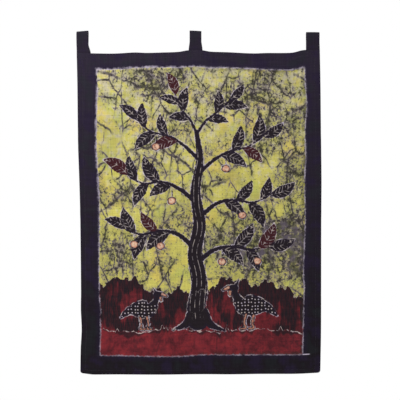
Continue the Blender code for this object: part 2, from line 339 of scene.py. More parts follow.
def limb_place(form, a, b):
    """Each point's distance outside the limb, its side of the line and its distance along it, in mm.

    Every point goes by the piece of line that is nearest to it. The distance is that to the line less the
    limb's half width there, and the side is positive to the left of the line.
    """
    start, step = form.line[:-1], np.diff(form.line, axis=0)
    lengths = np.hypot(*step.T)
    da, db = a[:, None] - start[:, 0], b[:, None] - start[:, 1]
    t = np.clip((da * step[:, 0] + db * step[:, 1]) / lengths**2, 0, 1)
    apart = np.hypot(da - t * step[:, 0], db - t * step[:, 1])
    nearest = np.argmin(apart, axis=1)
    row = np.arange(len(a))
    t, away = t[row, nearest], apart[row, nearest]
    cross = step[nearest, 0] * db[row, nearest] - step[nearest, 1] * da[row, nearest]
    width = form.widths[nearest] * (1 - t) + form.widths[nearest + 1] * t
    along = np.concatenate([[0], np.cumsum(lengths)])[nearest] + t * lengths[nearest]
    return away - width, np.where(cross >= 0, away, -away), along


def nearer_line(first, second):
    """A field that is zero where either field is: the smaller of the two, with both signs."""
    return np.sign(first) * np.sign(second) * np.minimum(np.abs(first), np.abs(second))


def stripes(place, pitch):
    """A field that is zero at every pitch along place, and about a distance near there."""
    return np.sin(pi * place / pitch) * pitch / pi


def inner_lines(form, side, along):
    """The waxed lines inside a form, as a field that is zero on them: a leaf's midrib and veins, or bark."""
    if form.pattern == "leaf":
        return nearer_line(side, stripes(along - VEIN_SLANT * np.abs(side) - VEIN_START, form.pitch))
    if form.pattern == "bark":
        waver = BARK_WAVER * np.sin(along / BARK_WAVER_LENGTH)
        grain = stripes(side + waver + 0.5 * form.pitch, form.pitch)
        return np.where(along > 0, grain, FAR)
    return np.full_like(side, FAR)


def draw(forms, a, b):
    """The picture's fields at the given places, one value a point, distances in mm.

    motif is the distance outside the nearest form, lines is zero on the waxed lines inside it, accent is
    the distance outside the coral forms, and tone and spotted belong to the nearest form.
    """
    fields = {name: np.full_like(a, FAR) for name in ("motif", "lines", "accent")}
    fields.update({name: np.zeros_like(a) for name in ("tone", "spotted")})
    for form in forms:
        reach = FIELD_REACH + form.widths.max()
        low, high = form.line.min(axis=0) - reach, form.line.max(axis=0) + reach
        near = np.flatnonzero((a > low[0]) & (a < high[0]) & (b > low[1]) & (b < high[1]))
        distance, side, along = limb_place(form, a[near], b[near])
        if form.accent:
            fields["accent"][near] = np.minimum(fields["accent"][near], distance)
            distance = distance - ACCENT_RING
        won = distance < fields["motif"][near]
        chosen = near[won]
        fields["motif"][chosen] = distance[won]
        fields["lines"][chosen] = inner_lines(form, side, along)[won]
        fields["tone"][chosen] = form.tone
        fields["spotted"][chosen] = form.spotted
    return fields


# The tree, in the picture's mm: each bough's points, half widths, number of leaves and their length
Bough = namedtuple("Bough", "points widths leaves length")
TRUNK = ((266, 94), (262, 130), (270, 190), (258, 270), (270, 352), (259, 436), (271, 520), (262, 596))
TRUNK_WIDTHS = (28, 25, 22, 20, 17, 14, 10.5, 6)
BOUGHS = (
    Bough(((264, 246), (306, 280), (356, 290), (408, 282), (452, 292)), (7.5, 5.5, 4, 2.2), 4, 76),
    Bough(((260, 282), (214, 322), (164, 332), (116, 322), (78, 336)), (7.5, 5.5, 4, 2.2), 4, 74),
    Bough(((268, 366), (314, 404), (362, 414), (414, 408), (458, 428)), (7, 5, 3.5, 2), 4, 72),
    Bough(((261, 408), (216, 444), (170, 462), (120, 458), (80, 480)), (7, 5, 3.5, 2), 4, 74),
    Bough(((269, 486), (310, 522), (352, 544), (398, 556), (440, 584)), (6, 4.5, 3, 2), 4, 70),
    Bough(((268, 522), (228, 560), (188, 584), (142, 596), (104, 626)), (6, 4.5, 3, 2), 4, 68),
    Bough(((263, 590), (288, 626), (322, 652), (350, 682)), (4.5, 3.5, 2), 3, 62),
    Bough(((263, 590), (246, 626), (222, 656), (206, 694)), (4.5, 3.5, 2), 3, 62),
)
ROOTS = (
    (((252, 112), (234, 84), (198, 68)), (16, 11, 2.5)),
    (((280, 112), (298, 84), (338, 66)), (16, 11, 2.5)),
)
FRUITS = ((330, 250), (424, 252), (166, 292), (96, 296), (384, 374), (196, 412), (340, 498), (154, 556))
FRUIT_RADIUS = 8.5
STALK = 22.0

# Leaves: where along a bough the first one stands, how far they turn away from it in degrees at its foot
# and how much less at its tip, their half width and bow as shares of their length, and the veins' pitch
FIRST_LEAF = 0.36
LEAF_TURN = 58
LEAF_CLOSING = 14
LEAF_HALF_WIDTH = 0.21
LEAF_BOW = 0.10
LEAF_UNEVENNESS = 0.10
VEIN_PITCH = 9.5

# A spotted ground bird that faces right, in mm from where it stands: points, half widths, kind of part
BIRD = (
    (((-46, 54), (-26, 60), (-2, 62), (22, 62), (34, 70)), (7, 21, 29, 25, 14), "spotted"),
    (((-40, 58), (-56, 46), (-68, 34)), (13, 9, 3), "spotted"),
    (((32, 72), (42, 90), (45, 106)), (14, 9, 8), "plain"),
    (((44, 108), (53, 109)), (10, 8), "plain"),
    (((62, 109), (76, 103)), (4.2, 1.2), "accent"),
    (((42, 114), (34, 128)), (5.0, 2.0), "plain"),
    (((56, 98), (57, 90)), (3.2, 2.4), "accent"),
    (((-6, 36), (-3, 14), (-6, 2), (8, 0)), (2.4, 2.0, 1.8, 1.6), "accent"),
    (((14, 38), (19, 16), (15, 2), (29, 0)), (2.4, 2.0, 1.8, 1.6), "accent"),
)
# Where each bird stands, its size and the way that it faces
BIRDS = ((408, 72, 1.0, -1), (118, 70, 0.86, 1))


def leaves_of(bough, order):
    """A bough's leaves: they stand on alternate sides of it, bow a little, and one ends it.

    A leaf's half width is a sine of its length, fuller towards its foot, and every seventh one is red.
    """
    line = smooth_line(bough.points, 60)
    forms = []
    for i in range(bough.leaves + 1):
        share = FIRST_LEAF + (1 - FIRST_LEAF) * i / bough.leaves
        spot = round(share * (len(line) - 1))
        heading = line[spot] - line[spot - 3]
        last = i == bough.leaves
        side = 0 if last else (1 if (i + order) % 2 else -1)
        turn = np.arctan2(heading[1], heading[0]) + side * radians(LEAF_TURN - LEAF_CLOSING * share)
        length = bough.length * (1 + LEAF_UNEVENNESS * sin(2.4 * i + 1.7 * order))
        bow = LEAF_BOW * length * (side if side else 1)
        out = np.array([np.cos(turn), np.sin(turn)])
        up = np.array([-out[1], out[0]])
        s = np.linspace(0, 1, LIMB_STEPS)
        line_points = line[spot] + np.outer(s * length, out) - np.outer(bow * 4 * s * (1 - s), up)
        widths = LEAF_HALF_WIDTH * length * np.sin(pi * s**0.86) ** 0.9 + 0.4
        tone = 1.0 if (i + 2 * order) % 7 == 3 else 0.0
        forms.append(Limb(line_points, widths, "leaf", VEIN_PITCH, tone, 0.0, False))
    return forms


def bird(place):
    """One bird: the parts above at its size, turned the way that it faces, standing at its place."""
    foot_a, foot_b, size, facing = place
    forms = []
    for points, widths, kind in BIRD:
        spots = [(foot_a + facing * size * p, foot_b + size * q) for p, q in points]
        half = [size * w for w in widths]
        forms.append(limb(spots, half, spotted=float(kind == "spotted"), accent=kind == "accent"))
    return forms


def picture():
    """Every form of the picture, from the ground up."""
    forms = [limb(points, widths) for points, widths in ROOTS]
    forms.append(limb(TRUNK, TRUNK_WIDTHS, "bark", 12.5, steps=60))
    for order, bough in enumerate(BOUGHS):
        forms.append(limb(bough.points, bough.widths, steps=32))
        forms += leaves_of(bough, order)
    for a, b in FRUITS:
        forms.append(limb(((a, b + STALK + FRUIT_RADIUS), (a + 2, b)), (1.6, 1.2)))
        forms.append(limb(((a - 1, b), (a + 1, b)), (FRUIT_RADIUS, FRUIT_RADIUS), accent=True, steps=2))
    for place in BIRDS:
        forms += bird(place)
    return forms


# The skyline of the red earth: height of its middle, then wave length, phase and height of each slow wave,
# and width, phase and depth of the round lobes in which the yellow hangs down, in mm
SKYLINE = 186.0
SKYLINE_WAVES = ((340, 0.12, 18.0), (131, 0.63, 8.0))
SKYLINE_LOBES = ((58, 0.30, 15.0), (23, 0.81, 8.0))
LOBE_MIDDLE = 0.6

# The white line on the ground: its height and waves, and where it runs up into small blades of grass
GROUND_LINE = 66.0
GROUND_WAVES = ((230, 0.35, 4.0), (71, 0.1, 2.2), (27, 0.7, 1.6))
GRASS_MARKS = ((52, 12), (171, 16), (181, 11), (192, 14), (331, 13), (343, 18), (352, 10), (486, 14))
GRASS_MARK_WIDTH = 5.5


def waves_at(waves, a):
    """The sum of sine waves at places along the picture."""
    return sum(height * np.sin(2 * pi * (a / length + phase)) for length, phase, height in waves)


def ground_fields(a, b):
    """Heights above the red earth's skyline and above the white ground line, in mm."""
    marks = sum(tall * np.maximum(1 - np.abs(a - place) / GRASS_MARK_WIDTH, 0) for place, tall in GRASS_MARKS)
    skyline = b - SKYLINE - waves_at(SKYLINE_WAVES, a)
    for width, phase, depth in SKYLINE_LOBES:
        skyline += depth * (np.abs(np.sin(pi * (a / width + phase))) - LOBE_MIDDLE)
    return {"skyline": skyline, "ground": b - GROUND_LINE - waves_at(GROUND_WAVES, a) - marks}


# Places where the wax broke up most and let the dark dye in: centre and half sizes in the picture's mm,
# and how strongly it cracked in every way, along level folds and along steep ones
SEEP_EVERYWHERE = 0.22
SeepPatch = namedtuple("SeepPatch", "a b half_width half_height seep level steep")
SEEP_PATCHES = (
    SeepPatch(165, 725, 55, 42, 1.00, 0.0, 0.5),
    SeepPatch(185, 640, 45, 30, 0.25, 0.9, 0.0),
    SeepPatch(160, 575, 50, 26, 1.20, 0.4, 0.0),
    SeepPatch(250, 700, 40, 45, 0.35, 0.0, 0.3),
    SeepPatch(360, 700, 22, 60, 0.30, 0.0, 1.0),
    SeepPatch(440, 700, 70, 50, 0.60, 0.2, 0.2),
    SeepPatch(430, 600, 90, 60, 0.25, 0.2, 0.0),
    SeepPatch(500, 610, 50, 60, 0.40, 0.4, 0.0),
    SeepPatch(60, 430, 40, 60, 0.30, 0.4, 0.0),
    SeepPatch(35, 615, 40, 75, -0.30, 0.0, 0.0),
    SeepPatch(510, 30, 90, 45, 0.90, 0.0, 0.2),
    SeepPatch(55, 275, 50, 75, 0.45, 0.0, 1.1),
    SeepPatch(165, 330, 70, 40, 0.35, 0.2, 0.3),
    SeepPatch(500, 470, 40, 60, 0.45, 0.5, 0.0),
    SeepPatch(450, 345, 60, 25, 0.60, 0.6, 0.0),
    SeepPatch(385, 290, 75, 48, 1.90, 0.0, 0.4),
    SeepPatch(495, 322, 65, 28, 1.90, 0.5, 0.0),
    SeepPatch(520, 262, 50, 55, 1.30, 0.0, 0.2),
    SeepPatch(440, 225, 70, 40, 0.40, 0.2, 0.2),
    SeepPatch(525, 350, 25, 260, 0.30, 0.0, 0.3),
)


def seep_fields(a, b):
    """How much of the wax is broken in every way, along level folds and along steep ones, from 0 to above 1.

    Each patch adds a soft bell to what is broken everywhere.
    """
    fields = {"seep": np.full_like(a, SEEP_EVERYWHERE), "level": np.zeros_like(a), "steep": np.zeros_like(a)}
    for patch in SEEP_PATCHES:
        bell = np.exp(-(((a - patch.a) / patch.half_width) ** 2) - ((b - patch.b) / patch.half_height) ** 2)
        for name in fields:
            fields[name] += getattr(patch, name) * bell
    return fields


def frame_fields(x, drop):
    """How far inside the waxed frame line a point lies and how far above its bottom side, in mm.

    overshoot is 1 where the bottom side runs on past the right one, and 0 elsewhere.
    """
    left = x - edge_at(LEFT_EDGE, drop) - edge_at(LEFT_LINE, drop)
    right = edge_at(RIGHT_EDGE, drop) - edge_at(RIGHT_LINE, drop) - x
    top = drop - edge_at(TOP_EDGE, x) - edge_at(TOP_LINE, x)
    bottom = edge_at(BOTTOM_EDGE, x) - edge_at(BOTTOM_LINE, x) - drop
    beyond = (right < 0) & (right > -OVERSHOOT)
    inside = np.minimum(np.minimum(left, right), np.minimum(top, bottom))
    return {"inside": inside, "bottom": bottom, "overshoot": beyond.astype(float)}


# The fields that the batik reads from the cloth's points
CLOTH_FIELDS = (
    *("motif", "lines", "accent", "tone", "spotted", "skyline", "ground", "seep", "level", "steep"),
    *("inside", "bottom", "overshoot", "behind"),
)


def cloth_fields(x, drop):
    """All these fields but behind, at X and distances below the rod's line in mm."""
    a, b = x - PICTURE_LEFT, PICTURE_BOTTOM - drop
    fields = draw(picture(), a, b)
    fields.update(ground_fields(a, b))
    fields.update(seep_fields(a, b))
    fields.update(frame_fields(x, drop))
    return fields


# Meshes: the cloth's grid, in mm, with the finer pitch from BORDER_REACH inside its edges on, the steps
# in which it is paced out, and where its columns stand over a hem, as shares of the hem's width from its
# inner edge
PICTURE_PITCH = 2.8
BORDER_PITCH = 5.0
BORDER_REACH = 40.0
FINE_STEPS = 4000
HEM_COLUMNS = (-1.0, -0.96, -0.92, -0.8, -0.66, -0.52, -0.38, -0.26, -0.13, -0.06, 0.0)


def spaced(total, first_hem, last_hem):
    """Distances over the cloth for its grid, in mm, an odd number of them.

    They are set one by one over the hems, with one step on the flap's edge, and between the hems they are
    PICTURE_PITCH apart inside the border and BORDER_PITCH apart on it.
    """
    step = HEM_STEP / MM
    first = [first_hem * (1 + share) for share in HEM_COLUMNS]
    last = [total - last_hem * (1 + share) for share in reversed(HEM_COLUMNS)]
    start, end = first_hem + step, total - last_hem - step
    fine = np.linspace(start, end, FINE_STEPS)
    pictured = (fine > BORDER_REACH) & (fine < total - BORDER_REACH)
    pitch = np.where(pictured, PICTURE_PITCH, BORDER_PITCH)
    counted = np.concatenate([[0], np.cumsum(np.diff(fine) / pitch[1:])])
    steps = 2 * round(counted[-1] / 2)
    inner = np.interp(np.linspace(0, counted[-1], steps + 1), counted, fine)
    return np.concatenate([first, [first_hem + step / 2], inner, [total - last_hem - step / 2], last])


def make_piece(name, points, faces, material, uv=None, fields=None):
    """One finished object at the origin, shaded smooth, with a UV map and named numbers on its points."""
    mesh = bpy.data.meshes.new(name)
    mesh.from_pydata(np.asarray(points).tolist(), [], faces)
    mesh.shade_smooth()
    mesh.materials.append(material)
    if uv is not None:
        corners = np.zeros(len(mesh.loops), np.int32)
        mesh.loops.foreach_get("vertex_index", corners)
        layer = mesh.uv_layers.new(name="cloth_place")
        layer.uv.foreach_set("vector", np.asarray(uv, np.float32)[corners].ravel())
    for field, values in (fields or {}).items():
        attribute = mesh.attributes.new(field, "FLOAT", "POINT")
        attribute.data.foreach_set("value", np.asarray(values, np.float32).ravel())
    piece = bpy.data.objects.new(name, mesh)
    bpy.context.scene.collection.objects.link(piece)
    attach(piece, BODY)
    return piece


def grid_quads(rows, columns, first=0, flipped=False):
    """Quads of a grid of points that is stored row by row from index first, as an array of corners."""
    index = first + np.arange(rows * columns).reshape(rows, columns)
    quads = np.stack([index[:-1, :-1], index[1:, :-1], index[1:, 1:], index[:-1, 1:]], axis=-1).reshape(-1, 4)
    return quads[:, ::-1] if flipped else quads


def rim_of(index):
    """The outer points of a grid of indices, once round from its first corner."""
    return np.concatenate([index[0, :-1], index[:-1, -1], index[-1, :0:-1], index[:0:-1, 0]])


def build_cloth(material):
    """The cloth: a fine front grid, a back grid of every second point, and pentagons round the rim."""
    across = spaced(CLOTH_WIDTH, LEFT_HEM / MM, RIGHT_HEM / MM)
    down = spaced(CLOTH_HEIGHT, TOP_HEM / MM, BOTTOM_HEM / MM)
    wide, tall = np.meshgrid(across, down)
    x, front, back, z = cloth_surface(wide, tall)
    fields = cloth_fields(x.ravel() / MM, -z.ravel() / MM)
    fields = {name: values.reshape(x.shape) for name, values in fields.items()}
    half = (slice(None, None, 2), slice(None, None, 2))
    front_points = np.stack([x, front, z], axis=-1).reshape(-1, 3)
    back_points = np.stack([x[half], back[half], z[half]], axis=-1).reshape(-1, 3)
    rows, columns = x.shape
    count = rows * columns
    front_index = np.arange(count).reshape(rows, columns)
    back_index = count + np.arange(len(back_points)).reshape(x[half].shape)
    faces = grid_quads(rows, columns).tolist()
    faces += grid_quads(*back_index.shape, first=count, flipped=True).tolist()
    outer, inner = rim_of(front_index), rim_of(back_index)
    start, middle, end = outer[0::2], outer[1::2], np.roll(outer, -2)[0::2]
    faces += np.stack([start, middle, end, np.roll(inner, -1), inner], axis=-1).tolist()
    fields = {name: np.concatenate([v.ravel(), v[half].ravel()]) for name, v in fields.items()}
    fields["behind"] = np.repeat([0.0, 1.0], [count, len(back_points)])
    place = np.stack([wide * MM, (CLOTH_HEIGHT - tall) * MM], axis=-1)
    uv = np.concatenate([place.reshape(-1, 2), place[half].reshape(-1, 2)])
    all_points = np.vstack([front_points, back_points])
    cloth = make_piece("batik_cloth_dyed", all_points, faces, material, uv, fields)
    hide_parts("batik_cloth")
    return cloth


# Tabs: steps along a leg, over the rod, over the part behind the hem and across the strip
TAB_LEG_STEPS = 25
TAB_ARC_STEPS = 15
TAB_END_STEPS = 7
TAB_SECTION_STEPS = 13

# The strip: how far apart its ends lie behind the hem, the width of the cotton in its weave, how much
# fuller it is in the middle, and where its two seams run, as shares of its half width
TAB_END_SLACK = 0.06 * MM
TAB_COTTON_WIDTH = 32 * MM
TAB_SWELL = 0.22
TAB_SEAM = 0.82
TAB_SEAM_HALF_WIDTH = 0.12


def tab_path():
    """What shapes the loop: shares of a leg's length below the rod, the leg's distance from the loop's
    middle there, which closes in along half a cosine, and the angles of the half circle over the rod.
    """
    leg = np.linspace(1, 0, TAB_LEG_STEPS, endpoint=False)
    gap = ROD_RADIUS * (0.5 + 0.5 * np.cos(pi * leg)) + TAB_THICKNESS / 2
    angle = np.linspace(pi, 0, TAB_ARC_STEPS)
    return leg, gap, angle


def tab_surface(tab, share, layer):
    """Points of one tab at shares of its width and at an offset from its middle line: path by width by 3.

    A loop of half a circle over the rod, two legs that meet at the cloth's edge, and two ends that lie
    together behind the top hem. The strip flares to its wider foot along half a cosine.
    """
    x_top = tab.left + (tab.right - tab.left) * share
    x_base = tab.base_left + (tab.base_right - tab.base_left) * share
    rise = (tab.left_rise + (tab.right_rise - tab.left_rise) * share)[None, :]
    edge = edge_at(TOP_EDGE, x_base)[None, :]
    lean = -fold_depth(x_base[None, :], edge)
    leg, gap, angle = tab_path()
    radius = ROD_RADIUS / MM
    half = TAB_THICKNESS / MM / 2
    leg_length = edge - SEAM_RISE / MM + rise - radius
    end_z = -edge - TAB_OVERLAP / MM * np.linspace(1, 0, TAB_END_STEPS)[:, None]
    end_y = np.full_like(end_z, -half - TAB_END_SLACK / MM)
    leg_y = -gap[:, None] / MM + 0 * edge
    leg_z = -radius - leg_length * leg[:, None] + rise
    arc_y = (radius + half) * np.cos(angle)[:, None] + 0 * edge
    arc_z = (radius + half) * np.sin(angle)[:, None] - radius + rise
    y = np.vstack([end_y, leg_y, arc_y, -leg_y[::-1], -end_y[::-1]])
    z = np.vstack([end_z, leg_z, arc_z, leg_z[::-1], end_z[::-1]])
    above = z + edge
    flare = bump(np.maximum(above, 0), TAB_FLARE_HEIGHT / MM)
    follow = bump(np.clip(above, 0, edge) / edge, 1.0)
    x = x_top + (x_base - x_top) * flare
    tangent_y, tangent_z = np.gradient(y, axis=0), np.gradient(z, axis=0)
    length = np.hypot(tangent_y, tangent_z)
    y = y + lean * follow
    offset = layer[None, :]
    y = y - offset * tangent_z / length
    z = z + offset * tangent_y / length
    return np.stack([x, y, z], axis=-1) * MM


def tab_section():
    """The strip's section, once round: shares of its width and offsets from its middle line, in mm.

    A flat strip of folded cotton: nearly even thickness, rounded at both edges by a sixth-power curve,
    fuller between its two seams and drawn in along them.
    """
    spread = np.sin(np.linspace(-pi / 2, pi / 2, TAB_SECTION_STEPS))
    full = TAB_THICKNESS / MM / 2 * (1 - spread**6) ** (1 / 3)
    fullness = np.cos(pi * spread / 2) - bump(np.abs(spread) - TAB_SEAM, TAB_SEAM_HALF_WIDTH)
    upper = full * (1 + TAB_SWELL * fullness)
    return np.concatenate([spread, spread[-2:0:-1]]) / 2 + 0.5, np.concatenate([upper, -upper[-2:0:-1]])


def tube_faces(rings, sides):
    """The quads of a tube of points stored ring by ring, as an array, and its two ends' corners."""
    index = np.arange(rings * sides).reshape(rings, sides)
    following = np.roll(index, -1, axis=1)
    quads = np.stack([index[:-1], following[:-1], following[1:], index[1:]], axis=-1).reshape(-1, 4)
    return quads, index[0, ::-1], index[-1]


def walked(line):
    """The distance walked along a line at each of its points, from 0."""
    return np.concatenate([[0], np.cumsum(np.linalg.norm(np.diff(line, axis=0), axis=1))])


def spots_on(line, walk, at):
    """Points on a line at given distances walked along it."""
    return np.stack([np.interp(at, walk, line[:, i]) for i in range(3)], axis=-1)


def build_tab(tab, material):
    """One tab: the strip's section carried along its path, closed at both ends."""
    share, layer = tab_section()
    surface = tab_surface(tab, share, layer)
    quads, front_end, back_end = tube_faces(*surface.shape[:2])
    faces = quads.tolist() + [front_end.tolist(), back_end.tolist()]
    width, length = share[None, :] * TAB_COTTON_WIDTH, walked(surface[:, 0])[:, None]
    uv = np.stack(np.broadcast_arrays(width, length), axis=-1).reshape(-1, 2)
    piece = make_piece(tab.name + "_cotton", surface.reshape(-1, 3), faces, material, uv)
    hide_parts(tab.name)
    return piece


# Stitches, in mm: their pitch and length, the thread, where its last rings stand as a share of half the
# length, how high a stitch rises at its middle and how far its ends dip below that, and how far the row
# sways
STITCH_PITCH = 3.8
STITCH_LENGTH = 3.0
THREAD_RADIUS = 0.28
STITCH_RINGS = 5
STITCH_SIDES = 6
STITCH_TIP = 0.98
STITCH_RISE = 0.24
STITCH_DIP = 0.34
STITCH_WOBBLE = 0.25

# The box of stitches on each tab, in mm: how far inside the tab's sides and at least inside the cloth's
# sides it stays, and its top and bottom below the cloth's edge
BOX_INSET = 3.5
BOX_MARGIN = 4.5
BOX_TOP = 3.0
BOX_BOTTOM = 10.5

# The rows along a tab: shares of its width, how far they stay from its front and back ends, and how deep
# the thread is sunk into the cotton
TAB_ROWS = (0.09, 0.91)
TAB_ROW_START = 16 * MM
TAB_ROW_END = 15 * MM
THREAD_SUNK = 0.06 * MM


def build_stitches(name, places, along, outward, material):
    """Rows of stitches as one piece: each is a thread that rises from the cloth and dips into it again.

    A stitch is a tube round a line of STITCH_LENGTH whose height over the cloth is a parabola, and whose
    radius goes to nothing at both ends along a circle.
    """
    across = np.cross(along, outward)
    s = np.linspace(-STITCH_TIP, STITCH_TIP, STITCH_RINGS)
    angle = 2 * pi * np.arange(STITCH_SIDES) / STITCH_SIDES
    radius = THREAD_RADIUS * np.sqrt(1 - s**4)[:, None]
    lift = (STITCH_RISE - STITCH_DIP * s**2)[:, None]
    forward = (0.5 * STITCH_LENGTH * s)[:, None] + 0 * angle
    sideways = radius * np.cos(angle)
    upward = lift + radius * np.sin(angle)
    parts = np.stack([forward, sideways, upward], axis=-1).reshape(-1, 3) * MM
    axes = np.stack([along, across, outward], axis=1)
    threads = places[:, None, :] + parts @ axes
    starts = STITCH_RINGS * STITCH_SIDES * np.arange(len(places))[:, None]
    quads, first_end, last_end = tube_faces(STITCH_RINGS, STITCH_SIDES)
    faces = (starts[:, :, None] + quads).reshape(-1, 4).tolist()
    faces += (starts + first_end).tolist() + (starts + last_end).tolist()
    return make_piece(name, threads.reshape(-1, 3), faces, material)


def seam_places(corners):
    """Distances across and down of the stitches on straight seams from corner to corner, in mm."""
    spots = []
    for start, end in zip(corners, corners[1:]):
        start, end = np.array(start, float), np.array(end, float)
        count = round(np.hypot(*(end - start)) / STITCH_PITCH)
        share = (np.arange(count) + 0.5) / count
        wobble = STITCH_WOBBLE * np.sin(0.37 * np.arange(count) + start[0])
        direction = (end - start) / np.hypot(*(end - start))
        normal = np.array([-direction[1], direction[0]])
        spots.append(start + np.outer(share, end - start) + np.outer(wobble, normal))
    return np.vstack(spots)


def surface_rows(spots, behind):
    """Places on the cloth's front or back, the way the seam runs there and the way out of the cloth."""
    step = 0.2 * STITCH_LENGTH
    heading = np.gradient(spots, axis=0)
    heading /= np.maximum(np.hypot(*heading.T), TINY)[:, None]

    def at(shift):
        x, front, back, z = cloth_surface(*(spots + shift * heading).T)
        return np.stack([x, back if behind else front, z], axis=-1)

    along = at(step) - at(-step)
    along /= np.linalg.norm(along, axis=1)[:, None]
    facing = np.array([0.0, 1.0 if behind else -1.0, 0.0])
    outward = facing - along * (along @ facing)[:, None]
    outward /= np.linalg.norm(outward, axis=1)[:, None]
    return at(0.0), along, outward


def hem_seam():
    """The corners of the seam that holds all four hems, in mm across and down."""
    inset = STITCH_INSET / MM
    left, right = LEFT_HEM / MM - inset, CLOTH_WIDTH - RIGHT_HEM / MM + inset
    top, bottom = TOP_HEM / MM - inset, CLOTH_HEIGHT - BOTTOM_HEM / MM + inset
    return ((left, top), (right, top), (right, bottom), (left, bottom), (left, top))


def tab_seam(tab):
    """The corners of the box of stitches that sews a tab to the top hem, in mm across and down."""
    middle = (tab.base_left + tab.base_right) / 2 - LEFT_EDGE[0].offset
    half = (tab.base_right - tab.base_left) / 2 - BOX_INSET
    left, right = max(middle - half, BOX_MARGIN), min(middle + half, CLOTH_WIDTH - BOX_MARGIN)
    return ((left, BOX_TOP), (right, BOX_TOP), (right, BOX_BOTTOM), (left, BOX_BOTTOM), (left, BOX_TOP))


def tab_stitches(tab):
    """Rows of stitches along both long sides of a tab, on its outer side."""
    places, along, outward = [], [], []
    for share in TAB_ROWS:
        width = np.array([share])
        outer = tab_surface(tab, width, np.array([TAB_THICKNESS / MM / 2]))[:, 0]
        inner = tab_surface(tab, width, np.array([0.0]))[:, 0]
        walk = walked(outer)
        at = np.arange(TAB_ROW_START, walk[-1] - TAB_ROW_END, STITCH_PITCH * MM)
        spot, under = spots_on(outer, walk, at), spots_on(inner, walk, at)
        ahead = spots_on(outer, walk, at + 0.5 * MM)
        direction = ahead - spot
        direction /= np.linalg.norm(direction, axis=1)[:, None]
        out = spot - under
        out -= direction * (out * direction).sum(axis=1)[:, None]
        out /= np.linalg.norm(out, axis=1)[:, None]
        places.append(spot - THREAD_SUNK * out)
        along.append(direction)
        outward.append(out)
    return np.vstack(places), np.vstack(along), np.vstack(outward)


# Materials
def linear(code):
    """An sRGB hex colour as linear red, green and blue, with full alpha."""
    channels = [int(code[i : i + 2], 16) / 255 for i in (0, 2, 4)]
    return (*(c / 12.92 if c <= 0.04045 else ((c + 0.055) / 1.055) ** 2.4 for c in channels), 1.0)


def per_metre(size):
    """A pattern's scale from its real size in mm."""
    return 1000.0 / size


# A wave texture of scale 1 has this many bands a metre across X or Y, and half as many along X + Y + Z
WAVES_PER_METRE = 20 / (2 * pi)

# Settings that many nodes share: a ramp with soft ends, a noise in the cloth's plane, a mix of colours
SOFT = {"interpolation_type": "SMOOTHSTEP"}
FLAT = {"noise_dimensions": "2D"}
COLOURS = {"data_type": "RGBA", "output": 2}


def add_node(tree, kind, sockets=None, output=0, **settings):
    """Adds one shader node and gives one of its outputs, or the node itself where it has none.

    Settings are the node's own, and sockets takes values or the outputs of other nodes.
    """
    node = tree.nodes.new("ShaderNode" + kind)
    for name, value in settings.items():
        setattr(node, name, value)
    for socket, value in (sockets or {}).items():
        if isinstance(value, bpy.types.NodeSocket):
            tree.links.new(value, node.inputs[socket])
        else:
            node.inputs[socket].default_value = value
    return node.outputs[output] if node.outputs else node


def new_material(name):
    """An empty material with its node tree."""
    material = bpy.data.materials.new(name)
    material.use_nodes = True
    material.node_tree.nodes.clear()
    return material, material.node_tree


# Dyes, wax and thread as the eye sees them on the cloth
DYE_CODES = {
    "yellow": "9f984d",
    "cream": "a69f82",
    "olive": "7c7944",
    "amber": "ac9648",
    "leaf_green": "758444",
    "fleck": "8c867c",
    "crack": "221f1d",
    "wash_green": "565541",
    "wash_lilac": "5b525f",
    "red": "571d23",
    "red_bright": "742427",
    "red_deep": "351518",
    "black": "1a1519",
    "indigo": "1c1528",
    # border and border_low are the border's top and bottom colours: the step between them is partly faded dye
    # and partly painted light from above
    "border": "201b26",
    "border_low": "151116",
    "vat_green": "191f20",
    "wax": "a299a8",
    "wax_warm": "a79c95",
    "coral": "a2755f",
    "coral_pale": "ac9580",
    "coral_red": "5f2b2a",
    "faded": "6d686e",
    "thread": "1c181f",
    "thread_pale": "2b2630",
}
DYES = {name: linear(code) for name, code in DYE_CODES.items()}


def dip(tree, colour, *baths):
    """The cloth's colour after its baths, in turn: each is how much the cloth takes up, and a colour."""
    for amount, dye in baths:
        colour = add_node(tree, "Mix", {0: amount, 6: colour, 7: dye}, **COLOURS)
    return colour


def held_back(tree, mark, *shares):
    """A mark held back by each share in turn: nothing is left of it where a share is 0."""
    for share in shares:
        mark = add_node(tree, "Math", {0: mark, 1: share}, operation="MULTIPLY")
    return mark


def strongest(tree, mark, *others):
    """Marks that lie over each other: the strongest one at each place."""
    for other in others:
        mark = add_node(tree, "Math", {0: mark, 1: other}, operation="MAXIMUM")
    return mark


# Networks of cracks, in mm: the size of the cells between them, how many times longer the cells are than
# wide, the cracks' width and how far they wander, their turn in radians, and the share that stays open
CrackNetwork = namedtuple("CrackNetwork", "cell stretch width wander turn kept")
LONG_CRACKS = CrackNetwork(66, 1.9, 3.5, 5, 0.5, 0.64)
CROSSING_CRACKS = CrackNetwork(44, 1.6, 2.9, 4, 2.2, 0.56)
MIDDLE_CRACKS = CrackNetwork(24, 1.2, 2.3, 5, 1.2, 0.58)
FINE_CRACKS = CrackNetwork(10, 1.0, 2.0, 2.4, 0.9, 0.66)

# How far from its middle a crack, and the band beside it, starts and stops to fade, in crack widths
CRACK_FADES = ((0.2, 0.9), (0.6, 4.0))

